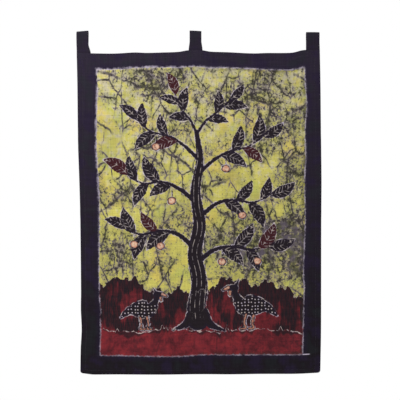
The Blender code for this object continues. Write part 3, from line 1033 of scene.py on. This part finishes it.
# Marks where dye got through, in mm: their width and length, their turn in radians, the bars above which
# a noise lets the dye in where the wax is whole and where it is gone, and how far their edges fade
DyeMark = namedtuple("DyeMark", "width length turn bare full soft")
SMUDGES = DyeMark(30.0, 38.0, 1.2, 0.72, 0.54, 0.10)
SPECKS = DyeMark(6.5, 7.0, 0.3, 0.66, 0.49, 0.06)
BLOTS = DyeMark(13.0, 16.0, 0.8, 0.72, 0.53, 0.07)
SLANTED_DASHES = DyeMark(6.5, 24.0, 0.35, 0.80, 0.44, 0.08)
LEVEL_DASHES = DyeMark(6.5, 32.0, 1.53, 0.80, 0.45, 0.08)
STAINS = DyeMark(24.0, 34.0, 2.3, 0.80, 0.45, 0.05)


def crack_network(tree, place, network):
    """One network of cracks in the wax, each from 0 to 1: the crack itself, and the cloth beside it.

    The cracks are the borders of long cells, after the place is turned and pushed about by up to the
    network's wander. A slow noise closes some of them again.
    """
    add = partial(add_node, tree)
    cell, turn, squeeze = network.cell, network.turn, 1 / network.stretch
    shape = {"Rotation": (0, 0, turn), "Location": (turn, 2.3 * turn, 0), "Scale": (1, squeeze, 1)}
    turned = add("Mapping", {"Vector": place, **shape})
    noise = {"Vector": turned, "Scale": per_metre(0.8 * cell), "Detail": 3.0, "Roughness": 0.55}
    push = add("TexNoise", noise, output="Color", **FLAT)
    centred = add("VectorMath", {0: push, 1: (0.5, 0.5, 0.5)}, operation="SUBTRACT")
    reach = 4 * network.wander * MM
    pushed = add("VectorMath", {0: centred, 1: (reach, reach, 0), 2: turned}, operation="MULTIPLY_ADD")
    cells = {"Vector": pushed, "Scale": per_metre(cell)}
    border = add("TexVoronoi", cells, feature="DISTANCE_TO_EDGE", voronoi_dimensions="2D", output="Distance")
    patchy = add("TexNoise", {"Vector": turned, "Scale": per_metre(1.4 * cell), "Detail": 4.0}, **FLAT)
    bar = 0.42 + 0.3 * (0.5 - network.kept)
    opened = add("MapRange", {"Value": patchy, "From Min": bar, "From Max": bar + 0.18}, **SOFT)
    shares = []
    for near, far in CRACK_FADES:
        start, end = near * network.width / cell, far * network.width / cell
        ramp = {"Value": border, "From Min": start, "From Max": end, "To Min": 1.0, "To Max": 0.0}
        shares.append(held_back(tree, add("MapRange", ramp, **SOFT), opened))
    return shares


def dye_marks(tree, place, marks, amount):
    """Marks of one kind where dye got through: 1 on a mark and 0 off it.

    They are the places where a noise of the marks' size and turn stands above a bar, which goes down from
    bare to full as the amount goes from 0 to 1.
    """
    add = partial(add_node, tree)
    turn, squeeze = marks.turn, marks.width / marks.length
    shape = {"Rotation": (0, 0, turn), "Location": (3 * turn, turn, 0), "Scale": (1, squeeze, 1)}
    turned = add("Mapping", {"Vector": place, **shape})
    noise = {"Vector": turned, "Scale": per_metre(marks.width), "Detail": 4.0, "Roughness": 0.64}
    level = add("TexNoise", noise, **FLAT)
    bar = add("Math", {0: amount, 1: marks.full - marks.bare, 2: marks.bare}, operation="MULTIPLY_ADD")
    over = add("Math", {0: level, 1: bar}, operation="SUBTRACT")
    return add("MapRange", {"Value": over, "From Min": -0.3 * marks.soft, "From Max": marks.soft}, **SOFT)


def left_clean(tree, layers):
    """How clean the cloth stayed, from 0 to 1: each layer, at its strength, takes some of what is left."""
    add = partial(add_node, tree)
    clean = 1.0
    for layer, strength in layers:
        kept = add("Math", {0: layer, 1: -strength, 2: 1.0}, operation="MULTIPLY_ADD")
        clean = add("Math", {0: clean, 1: kept}, operation="MULTIPLY")
    return clean


def crackle(tree, place, seep, level, steep):
    """How dark the dye ran in through the broken wax, from 0 to 1.

    Long cracks from folding the waxed cloth cross each other everywhere. A middle network, a fine one, a
    smoky band beside the long cracks, specks and blots show mostly where the seep is high, and dashes lie
    along the folds where level or steep is high. Smudges fill the places where the wax came off. The dye
    took unevenly, but for the long cracks, which stay dark.
    """
    add = partial(add_node, tree)
    long_cracks, beside_long = crack_network(tree, place, LONG_CRACKS)
    crossing, beside_crossing = crack_network(tree, place, CROSSING_CRACKS)
    middle, _ = crack_network(tree, place, MIDDLE_CRACKS)
    fine, _ = crack_network(tree, place, FINE_CRACKS)
    smudges = dye_marks(tree, place, SMUDGES, seep)
    beside = strongest(tree, beside_long, beside_crossing)
    wet = add("Math", {0: beside, 1: 0.25, 2: seep}, operation="MULTIPLY_ADD")
    wet = add("Math", {0: smudges, 1: 0.18, 2: wet}, operation="MULTIPLY_ADD", use_clamp=True)
    busy = add("MapRange", {"Value": wet, "From Min": 0.2, "From Max": 0.8})
    strained = add("MapRange", {"Value": seep, "From Min": 0.1, "From Max": 0.6, "To Min": 0.85})
    folded = held_back(tree, strongest(tree, long_cracks, crossing), strained)
    layers = (
        (folded, 1.0),
        (held_back(tree, middle, busy), 0.85),
        (held_back(tree, fine, busy), 0.6),
        (held_back(tree, beside, busy), 0.35),
        (smudges, 0.6),
        (dye_marks(tree, place, SPECKS, wet), 0.7),
        (dye_marks(tree, place, BLOTS, wet), 0.8),
        (dye_marks(tree, place, SLANTED_DASHES, steep), 0.75),
        (dye_marks(tree, place, LEVEL_DASHES, level), 0.75),
    )
    dyed = add("Math", {0: 1.0, 1: left_clean(tree, layers)}, operation="SUBTRACT")
    uneven_noise = {"Vector": place, "Scale": per_metre(10), "Detail": 4.0, "Roughness": 0.62}
    uneven = add("TexNoise", uneven_noise, **FLAT)
    taken_range = {"Value": uneven, "From Min": 0.38, "From Max": 0.58, "To Min": 0.45, "To Max": 1.15}
    taken = add("MapRange", taken_range)
    spread = add("Math", {0: dyed, 1: taken}, operation="MULTIPLY", use_clamp=True)
    return strongest(tree, spread, held_back(tree, folded, 0.85))


def yellow_ground(tree, place, height, seep):
    """Yellow-dyed cotton: clear yellow, olive, amber and green drifts, and pale flecks that kept the wax."""
    add = partial(add_node, tree)
    top = add("MapRange", {"Value": height, "From Min": 0.3, "From Max": 0.8, "To Min": -0.2, "To Max": 0.12})
    flecks_noise = {"Vector": place, "Scale": per_metre(17), "Detail": 3.0, "Roughness": 0.62}
    flecks = add("TexNoise", flecks_noise, **FLAT)
    lifted = add("Math", {0: flecks, 1: top}, operation="ADD")
    cream = add("MapRange", {"Value": lifted, "From Min": 0.42, "From Max": 0.66, "To Max": 0.75})
    pale = add("MapRange", {"Value": lifted, "From Min": 0.58, "From Max": 0.72, "To Max": 0.5})
    drift = add("TexNoise", {"Vector": place, "Scale": per_metre(88), "Detail": 3.0}, output="Color", **FLAT)
    drifts = add("SeparateColor", {0: drift}).node.outputs
    amber = add("MapRange", {"Value": drifts[0], "From Min": 0.52, "From Max": 0.68, "To Max": 0.6})
    olive = add("MapRange", {"Value": drifts[1], "From Min": 0.46, "From Max": 0.66, "To Max": 0.5})
    green = add("MapRange", {"Value": drifts[2], "From Min": 0.56, "From Max": 0.68, "To Max": 0.35})
    worn = add("MapRange", {"Value": seep, "From Min": 0.0, "From Max": 0.9, "To Max": 0.55})
    baths = ((cream, DYES["cream"]), (amber, DYES["amber"]), (olive, DYES["olive"]))
    baths += ((green, DYES["leaf_green"]), (worn, DYES["olive"]), (pale, DYES["fleck"]))
    return dip(tree, DYES["yellow"], *baths)


def crackled_yellow(tree, place, height, field):
    """The yellow ground with what ran in through its broken wax, and how dark that is, from 0 to 1.

    A thin wash of green or lilac surrounds each crack, the crack itself is near black, and the most
    broken places have a smooth brown stain over all.
    """
    add = partial(add_node, tree)
    drift = add("TexNoise", {"Vector": place, "Scale": per_metre(64), "Detail": 3.0}, **FLAT)
    seep = add("Math", {0: drift, 1: 1.6, 2: -0.8}, operation="MULTIPLY_ADD")
    seep = add("Math", {0: seep, 1: field["seep"]}, operation="ADD")
    cracks = crackle(tree, place, seep, field["level"], field["steep"])
    cast = add("TexNoise", {"Vector": place, "Scale": per_metre(30), "Detail": 4.0, "Roughness": 0.6}, **FLAT)
    greenish = add("MapRange", {"Value": cast, "From Min": 0.42, "From Max": 0.6})
    wash = dip(tree, DYES["wash_lilac"], (greenish, DYES["wash_green"]))
    stain = dip(tree, wash, (0.45, DYES["crack"]))
    washed = add("MapRange", {"Value": cracks, "From Max": 0.6, "To Max": 0.85})
    soaked = add("MapRange", {"Value": cracks, "From Min": 0.45, "From Max": 0.95, "To Max": 0.9})
    drenched = add("MapRange", {"Value": seep, "From Min": 0.8, "From Max": 1.6})
    stained = held_back(tree, dye_marks(tree, place, STAINS, drenched), 0.8)
    yellow = yellow_ground(tree, place, height, seep)
    return dip(tree, yellow, (washed, wash), (soaked, DYES["crack"]), (stained, stain)), cracks


def red_earth(tree, place, skyline, ground):
    """Red-dyed cotton: mottled below the white line, and brushed with near black from there to the skyline.

    The black lies in broad patches and streaks that run down, most of it just below the skyline, with
    single threads that let the red through, and in a few pools just below the white line.
    """
    add = partial(add_node, tree)
    mottle_noise = {"Vector": place, "Scale": per_metre(24), "Detail": 5.0, "Roughness": 0.7}
    mottle = add("TexNoise", mottle_noise, **FLAT)
    bright = add("MapRange", {"Value": mottle, "From Min": 0.48, "From Max": 0.7, "To Max": 0.6})
    deep = add("MapRange", {"Value": mottle, "From Min": 0.48, "From Max": 0.34, "To Max": 0.6})
    above = add("MapRange", {"Value": ground, "From Min": -3.0, "From Max": 2.0}, **SOFT)
    shade = held_back(tree, above, 0.25)
    baths = ((bright, DYES["red_bright"]), (deep, DYES["red_deep"]), (shade, DYES["red_deep"]))
    red = dip(tree, DYES["red"], *baths)

    drawn = add("Mapping", {"Vector": place, "Scale": (1.0, 0.13, 1.0)})
    streaks_noise = {"Vector": drawn, "Scale": per_metre(12), "Detail": 4.0, "Roughness": 0.62}
    streaks = add("TexNoise", streaks_noise, **FLAT)
    threads = add("TexNoise", {"Vector": drawn, "Scale": per_metre(2.8), "Detail": 1.0}, **FLAT)
    patch_place = add("Mapping", {"Vector": place, "Scale": (1.0, 0.6, 1.0)})
    patches = add("TexNoise", {"Vector": patch_place, "Scale": per_metre(52), "Detail": 3.0}, **FLAT)
    lifted_range = {"Value": skyline, "From Min": -95.0, "From Max": -6.0, "To Min": -0.10, "To Max": 0.42}
    lifted = add("MapRange", lifted_range)
    darkness = add("Math", {0: patches, 1: 1.7, 2: streaks}, operation="MULTIPLY_ADD")
    darkness = add("Math", {0: darkness, 1: lifted}, operation="ADD")
    brushed = add("MapRange", {"Value": darkness, "From Min": 1.20, "From Max": 1.44})
    covered_range = {"Value": threads, "From Min": 0.42, "From Max": 0.62, "To Min": 1.0, "To Max": 0.8}
    covered = add("MapRange", covered_range)

    shadow_range = {"Value": ground, "From Min": -24.0, "From Max": -3.0, "To Min": -0.25, "To Max": 0.14}
    shadow = add("MapRange", shadow_range)
    pooled = add("Math", {0: patches, 1: shadow}, operation="ADD")
    pools = add("MapRange", {"Value": pooled, "From Min": 0.54, "From Max": 0.64})
    below = add("MapRange", {"Value": above, "To Min": 0.8, "To Max": 0.0})
    black = strongest(tree, held_back(tree, brushed, covered, above), held_back(tree, pools, below))
    return dip(tree, red, (black, DYES["black"]))


# Lines of wax, in mm wide, and how strongly the fainter ones and the whole drawing show
OUTLINE_WIDTH = 2.1
INNER_LINE_WIDTH = 1.4
GROUND_LINE_WIDTH = 2.3
SKYLINE_WIDTH = 3.0
FRAME_LINE_WIDTH = 3.6
OVERSHOOT_WIDTH = 2.8
INNER_LINE_SHOWN = 0.75
SKYLINE_SHOWN = 0.5
OVERSHOOT_SHOWN = 0.75
DRAWING_SHOWN = 0.68


def wax_line(tree, field, width, shown):
    """A line left by wax where a field is zero, width mm wide, let through where shown is 1."""
    add = partial(add_node, tree)
    away = add("Math", {0: field}, operation="ABSOLUTE")
    ramp = {"Value": away, "From Min": 0.35 * width, "From Max": 0.65 * width, "To Min": 1.0, "To Max": 0.0}
    return held_back(tree, add("MapRange", ramp, **SOFT), shown)


def broken(tree, place, size, low, high):
    """How well a hand-drawn wax line held, from 0 to 1: a noise of the given size in mm between two bars."""
    noise = {"Vector": place, "Scale": per_metre(size), "Detail": 3.0, "Roughness": 0.6}
    level = add_node(tree, "TexNoise", noise, **FLAT)
    return add_node(tree, "MapRange", {"Value": level, "From Min": low, "From Max": high})


def dark_forms(tree, colour, field, motif):
    """Forms dipped in the last bath: black, bluer near their outline, red-brown where they have a tone."""
    add = partial(add_node, tree)
    rim = add("MapRange", {"Value": field["motif"], "From Min": -9.0, "From Max": 0.0, "To Max": 0.45})
    blush = held_back(tree, field["tone"], 0.7)
    dark = dip(tree, DYES["black"], (rim, DYES["indigo"]), (blush, DYES["red_deep"]))
    filled = add("MapRange", {"Value": motif, "From Min": 0.5, "From Max": -0.5}, **SOFT)
    return dip(tree, colour, (filled, dark))


def coral_forms(tree, colour, accent, rough, brush):
    """Fruit, beaks and legs in mottled coral, with a rust-red rim and rust where the brush ran out."""
    add = partial(add_node, tree)
    pale = add("MapRange", {"Value": rough, "From Min": 0.4, "From Max": 0.6})
    rim = add("MapRange", {"Value": accent, "From Min": -2.3, "From Max": -1.5, "To Max": 0.6})
    worn = add("MapRange", {"Value": brush, "From Min": 0.52, "From Max": 0.66, "To Max": 0.8})
    rust = strongest(tree, worn, rim)
    coral = dip(tree, DYES["coral"], (pale, DYES["coral_pale"]), (rust, DYES["coral_red"]))
    painted = add("MapRange", {"Value": accent, "From Min": 0.5, "From Max": -0.5}, **SOFT)
    return dip(tree, colour, (painted, coral))


def wax_drawing(tree, place, field, edge, sky):
    """How much of the wax drawing shows, from 0 to 1.

    Outlines run round all forms, finer lines inside leaves and bark, dots over what is spotted, one line
    on the ground and a faint one along the skyline, each broken where the wax didn't hold.
    """
    add = partial(add_node, tree)
    deep = add("MapRange", {"Value": field["motif"], "From Min": -2.4, "From Max": -3.6}, **SOFT)
    grid = {"Vector": place, "Scale": per_metre(9.0), "Randomness": 0.35}
    from_dot = add("TexVoronoi", grid, feature="F1", voronoi_dimensions="2D", output="Distance")
    dots = add("MapRange", {"Value": from_dot, "From Min": 0.24, "From Max": 0.15}, **SOFT)
    below_sky = add("Math", {0: 1.0, 1: sky}, operation="SUBTRACT")
    held_outside = broken(tree, place, 17, 0.40, 0.60)
    held_inside = broken(tree, place, 13, 0.42, 0.60)
    inner = wax_line(tree, field["lines"], INNER_LINE_WIDTH, held_inside)
    on_ground = wax_line(tree, edge["ground"], GROUND_LINE_WIDTH, held_inside)
    on_skyline = wax_line(tree, edge["skyline"], SKYLINE_WIDTH, held_inside)
    drawing = strongest(
        tree,
        wax_line(tree, edge["motif"], OUTLINE_WIDTH, held_outside),
        held_back(tree, inner, deep, INNER_LINE_SHOWN),
        held_back(tree, dots, field["spotted"], deep),
        held_back(tree, on_ground, below_sky),
        held_back(tree, on_skyline, SKYLINE_SHOWN),
    )
    return held_back(tree, drawing, DRAWING_SHOWN)


def vat_black(tree, place, height):
    """Cotton dyed near black, with faint indigo and green clouds, paler towards the top: partly faded dye and
    partly painted light from above.
    """
    add = partial(add_node, tree)
    # Paler towards the top and darker towards the bottom: partly faded dye, partly painted light falling from
    # above
    fall = add("MapRange", {"Value": height, "From Min": 0.1, "From Max": 0.86})
    clouds = add("TexNoise", {"Vector": place, "Scale": per_metre(45), "Detail": 4.0}, **FLAT)
    bluish = add("MapRange", {"Value": clouds, "From Min": 0.5, "From Max": 0.66, "To Max": 0.6})
    greenish = add("MapRange", {"Value": clouds, "From Min": 0.46, "From Max": 0.34, "To Max": 0.3})
    baths = ((fall, DYES["border"]), (bluish, DYES["indigo"]), (greenish, DYES["vat_green"]))
    return dip(tree, DYES["border_low"], *baths)


def framed(tree, place, picture_colour, field, edge):
    """The picture inside its waxed frame line, and the near-black border outside it.

    Inside the line, towards the right, the dye crept in and left a dark margin. Outside it the border is
    bluer near the line and has a pale fringe of wax at the upper left. The line is fainter towards the
    bottom, and its bottom side runs on past the right one.
    """
    add = partial(add_node, tree)
    across = add("SeparateXYZ", {0: place}, output=0)
    height = add("SeparateXYZ", {0: place}, output=1)
    inside = edge["inside"]

    margin_range = {"Value": inside, "From Min": 1.0, "From Max": 11.0, "To Min": 0.85, "To Max": 0.0}
    margin = add("MapRange", margin_range)
    rightward = add("MapRange", {"Value": across, "From Min": 0.2, "From Max": 0.45})
    margin = held_back(tree, margin, broken(tree, place, 26, 0.36, 0.58), rightward)
    picture_colour = dip(tree, picture_colour, (margin, DYES["crack"]))

    near = add("MapRange", {"Value": field["inside"], "From Min": -16.0, "From Max": -1.0, "To Max": 0.5})
    fringe = add("MapRange", {"Value": inside, "From Min": -6.5, "From Max": -2.0, "To Max": 0.4}, **SOFT)
    upward = add("MapRange", {"Value": height, "From Min": 0.25, "From Max": 0.6})
    leftward_range = {"Value": across, "From Min": 0.2, "From Max": 0.45, "To Min": 1.0, "To Max": 0.15}
    leftward = add("MapRange", leftward_range)
    fringe = held_back(tree, fringe, broken(tree, place, 22, 0.40, 0.60), upward, leftward)
    border = dip(tree, vat_black(tree, place, height), (near, DYES["indigo"]), (fringe, DYES["wax"]))

    pictured = add("MapRange", {"Value": inside, "From Min": -0.6, "From Max": 0.6}, **SOFT)
    strength_range = {"Value": height, "From Min": 0.05, "From Max": 0.35, "To Min": 0.36, "To Max": 0.5}
    strength = add("MapRange", strength_range)
    held = broken(tree, place, 16, 0.30, 0.66)
    line = held_back(tree, wax_line(tree, inside, FRAME_LINE_WIDTH, held), strength)
    run_on = held_back(tree, field["overshoot"], OVERSHOOT_SHOWN)
    overshoot = wax_line(tree, field["bottom"], OVERSHOOT_WIDTH, run_on)
    return dip(tree, border, (pictured, picture_colour), (strongest(tree, line, overshoot), DYES["wax"]))


def woven(tree, place, colour):
    """Plain weave: uneven yarns that lighten and darken the dye, and a fine relief.

    Real threads are about 0.35 mm apart. They are drawn 0.9 mm apart, so that the weave still shows.
    """
    add = partial(add_node, tree)
    yarn = {"Scale": per_metre(3.4), "Detail": 2.0}
    yarns, ribs = [], []
    for way, stretch in (("X", (1.0, 0.05, 1.0)), ("Y", (0.05, 1.0, 1.0))):
        drawn = add("Mapping", {"Vector": place, "Scale": stretch})
        yarns.append(add("TexNoise", {"Vector": drawn, **yarn}, **FLAT))
        wave = {"Vector": place, "Scale": per_metre(0.9) / WAVES_PER_METRE}
        ribs.append(add("TexWave", wave, bands_direction=way))
    uneven = add("Math", {0: yarns[0], 1: yarns[1]}, operation="ADD")
    shade_range = {"Value": uneven, "From Min": 0.7, "From Max": 1.3, "To Min": 0.88, "To Max": 1.12}
    shade = add("MapRange", shade_range)
    shaded = add("VectorMath", {0: colour, "Scale": shade}, operation="SCALE")
    weave = held_back(tree, ribs[0], ribs[1])
    raised = add("Math", {0: weave, 1: uneven}, operation="ADD")
    normal = add("Bump", {"Height": raised, "Strength": 0.25, "Distance": 0.2 * MM})
    return shaded, normal


def finish_cotton(tree, colour, normal):
    """Matt cotton: rough, with hardly any gloss."""
    shader = {"Base Color": colour, "Roughness": 0.9, "Specular IOR Level": 0.05, "Normal": normal}
    add_node(tree, "OutputMaterial", {"Surface": add_node(tree, "BsdfPrincipled", shader)})


# How much of the cracks' black shows on the red, and how much the back is faded, from 0 to 1
CRACKS_ON_RED = 0.45
BACK_FADED = 0.1


def batik_cotton():
    """Batik: plain-weave cotton, waxed and dyed yellow, then red, then near black, and boiled clean.

    The eye sees wax-reserved lilac-white lines with rough edges, dark forms, yellow ground full of dark
    cracks where the wax broke, and a matt, slightly uneven near-black border. The back is a little faded.
    """
    material, tree = new_material("batik_cotton")
    add = partial(add_node, tree)
    place = add("UVMap", uv_map="cloth_place")
    height = add("SeparateXYZ", {0: place}, output=1)
    field = {name: add("Attribute", attribute_name=name, output="Fac") for name in CLOTH_FIELDS}

    rough_noise = {"Vector": place, "Scale": per_metre(6), "Detail": 3.0, "Roughness": 0.6}
    rough = add("TexNoise", rough_noise, **FLAT)
    brush_noise = {"Vector": place, "Scale": per_metre(13), "Detail": 4.0, "Roughness": 0.65}
    brush = add("TexNoise", brush_noise, **FLAT)
    ragged = add("MapRange", {"Value": rough, "To Min": -3.0, "To Max": 3.0})
    torn = add("MapRange", {"Value": brush, "To Min": -13.0, "To Max": 13.0})
    uneven = {"motif": ragged, "accent": ragged, "ground": ragged, "inside": ragged, "skyline": torn}
    edge = {name: add("Math", {0: field[name], 1: shift}, operation="ADD") for name, shift in uneven.items()}

    yellow, cracks = crackled_yellow(tree, place, height, field)
    red = red_earth(tree, place, edge["skyline"], edge["ground"])
    red = dip(tree, red, (held_back(tree, cracks, CRACKS_ON_RED), DYES["black"]))
    sky = add("MapRange", {"Value": edge["skyline"], "From Min": -0.7, "From Max": 0.7}, **SOFT)
    colour = dip(tree, red, (sky, yellow))
    colour = dark_forms(tree, colour, field, edge["motif"])
    colour = coral_forms(tree, colour, edge["accent"], rough, brush)
    warm = add("MapRange", {"Value": brush, "From Min": 0.4, "From Max": 0.62})
    wax = dip(tree, DYES["wax"], (warm, DYES["wax_warm"]))
    colour = dip(tree, colour, (wax_drawing(tree, place, field, edge, sky), wax))
    colour = framed(tree, place, colour, field, edge)
    colour = dip(tree, colour, (held_back(tree, field["behind"], BACK_FADED), DYES["faded"]))
    finish_cotton(tree, *woven(tree, place, colour))
    return material


# The tabs take the border's colour at this height of its gradient, which is partly faded dye and partly
# painted light from above
TAB_DYE_HEIGHT = 0.66


def dark_cotton():
    """The tabs' cotton, dyed in the same near-black vat and folded into a strip: matt, faintly ribbed."""
    material, tree = new_material("dark_cotton")
    place = add_node(tree, "UVMap", uv_map="cloth_place")
    finish_cotton(tree, *woven(tree, place, vat_black(tree, place, TAB_DYE_HEIGHT)))
    return material


def sewing_thread():
    """Black spun sewing thread: a little smoother than the cotton, with a twist that is drawn 1 mm long."""
    material, tree = new_material("sewing_thread")
    add = partial(add_node, tree)
    place = add("TexCoord", output="Object")
    wave = {"Vector": place, "Scale": per_metre(1.0) / (0.5 * WAVES_PER_METRE)}
    twist = add("TexWave", wave, bands_direction="DIAGONAL")
    colour = dip(tree, DYES["thread"], (twist, DYES["thread_pale"]))
    normal = add("Bump", {"Height": twist, "Strength": 0.3, "Distance": 0.1 * MM})
    shader = {"Base Color": colour, "Roughness": 0.6, "Specular IOR Level": 0.3, "Normal": normal}
    add("OutputMaterial", {"Surface": add("BsdfPrincipled", shader)})
    return material


def pale_floor():
    """Painted plaster floor: pale, matt, with a faint unevenness."""
    material, tree = new_material("pale_floor")
    add = partial(add_node, tree)
    place = add("TexCoord", output="Object")
    clouds = add("TexNoise", {"Vector": place, "Scale": per_metre(400), "Detail": 3.0})
    colour = add("Mix", {0: clouds, 6: linear("e6e5e3"), 7: linear("f0efed")}, **COLOURS)
    shader = {"Base Color": colour, "Roughness": 0.8, "Specular IOR Level": 0.2}
    add("OutputMaterial", {"Surface": add("BsdfPrincipled", shader)})
    return material


# Camera, light and floor
PHOTO_SIDE = 400
PIXEL = 2.662 * MM
PICTURE_CENTRE = (1.3 * MM, -448.8 * MM)
CAMERA_DISTANCE = 3.0
SENSOR_WIDTH = 36.0
WORLD_LIGHT = 0.72
FLOOR_LEVEL = -1.30
FLOOR_HALF = 1.7


def place_camera():
    """A level camera straight in front of the cloth, which sees one pixel of the photograph as PIXEL wide."""
    camera = bpy.data.objects.new("camera", bpy.data.cameras.new("camera"))
    camera.data.sensor_width = SENSOR_WIDTH
    camera.data.lens = SENSOR_WIDTH * CAMERA_DISTANCE / (PHOTO_SIDE * PIXEL)
    camera.location = (PICTURE_CENTRE[0], CLOTH_FRONT - CAMERA_DISTANCE, PICTURE_CENTRE[1])
    camera.rotation_euler = (radians(90), 0, 0)
    bpy.context.scene.collection.objects.link(camera)
    bpy.context.scene.camera = camera


def soft_light(name, place, target, size, power):
    """A square studio light of a size in metres that faces its target."""
    light = bpy.data.lights.new(name, "AREA")
    light.size = size
    light.energy = power
    lamp = bpy.data.objects.new(name, light)
    lamp.location = place
    lamp.rotation_euler = (Vector(target) - Vector(place)).to_track_quat("-Z", "Y").to_euler()
    bpy.context.scene.collection.objects.link(lamp)


def light_studio():
    """Even white surroundings, a soft main light from the upper left and a weaker one behind."""
    scene = bpy.context.scene
    world = bpy.data.worlds.new("studio")
    world.use_nodes = True
    background = world.node_tree.nodes["Background"]
    background.inputs["Color"].default_value = (1.0, 1.0, 1.0, 1.0)
    background.inputs["Strength"].default_value = WORLD_LIGHT
    scene.world = world
    scene.view_settings.view_transform = "Standard"
    scene.view_settings.exposure = log2(1.0 / WORLD_LIGHT)
    soft_light("main_light", place=(-1.25, -1.2, 0.5), target=(-0.2, 0.0, -0.2), size=0.9, power=30.0)
    soft_light("back_light", place=(1.7, 2.4, 0.9), target=(0.0, 0.0, -0.45), size=1.6, power=20.0)


def lay_floor():
    """A flat floor under the hanging, just out of the camera's sight."""
    turns = ((-1, -1), (1, -1), (1, 1), (-1, 1))
    corners = [(x * FLOOR_HALF, y * FLOOR_HALF, FLOOR_LEVEL) for x, y in turns]
    mesh = bpy.data.meshes.new("floor")
    mesh.from_pydata(corners, [], [(0, 1, 2, 3)])
    mesh.materials.append(pale_floor())
    floor = bpy.data.objects.new("floor", mesh)
    bpy.context.scene.collection.objects.link(floor)


def build_hanging():
    """All pieces of the hanging: the cloth, the stitches of its hems, and each tab with its stitches."""
    cloth = build_cloth(batik_cotton())
    thread = sewing_thread()
    hem = seam_places(hem_seam())
    hem_front = build_stitches("hem_stitches_front", *surface_rows(hem, behind=False), thread)
    hem_back = build_stitches("hem_stitches_back", *surface_rows(hem, behind=True), thread)
    cotton = dark_cotton()
    for tab in TABS:
        strip = build_tab(tab, cotton)
        edges = build_stitches(tab.name + "_edge_stitches", *tab_stitches(tab), thread)
        box = seam_places(tab_seam(tab))
        build_stitches(tab.name + "_box_stitches", *surface_rows(box, behind=False), thread)


place_camera()
light_studio()
lay_floor()
build_hanging()
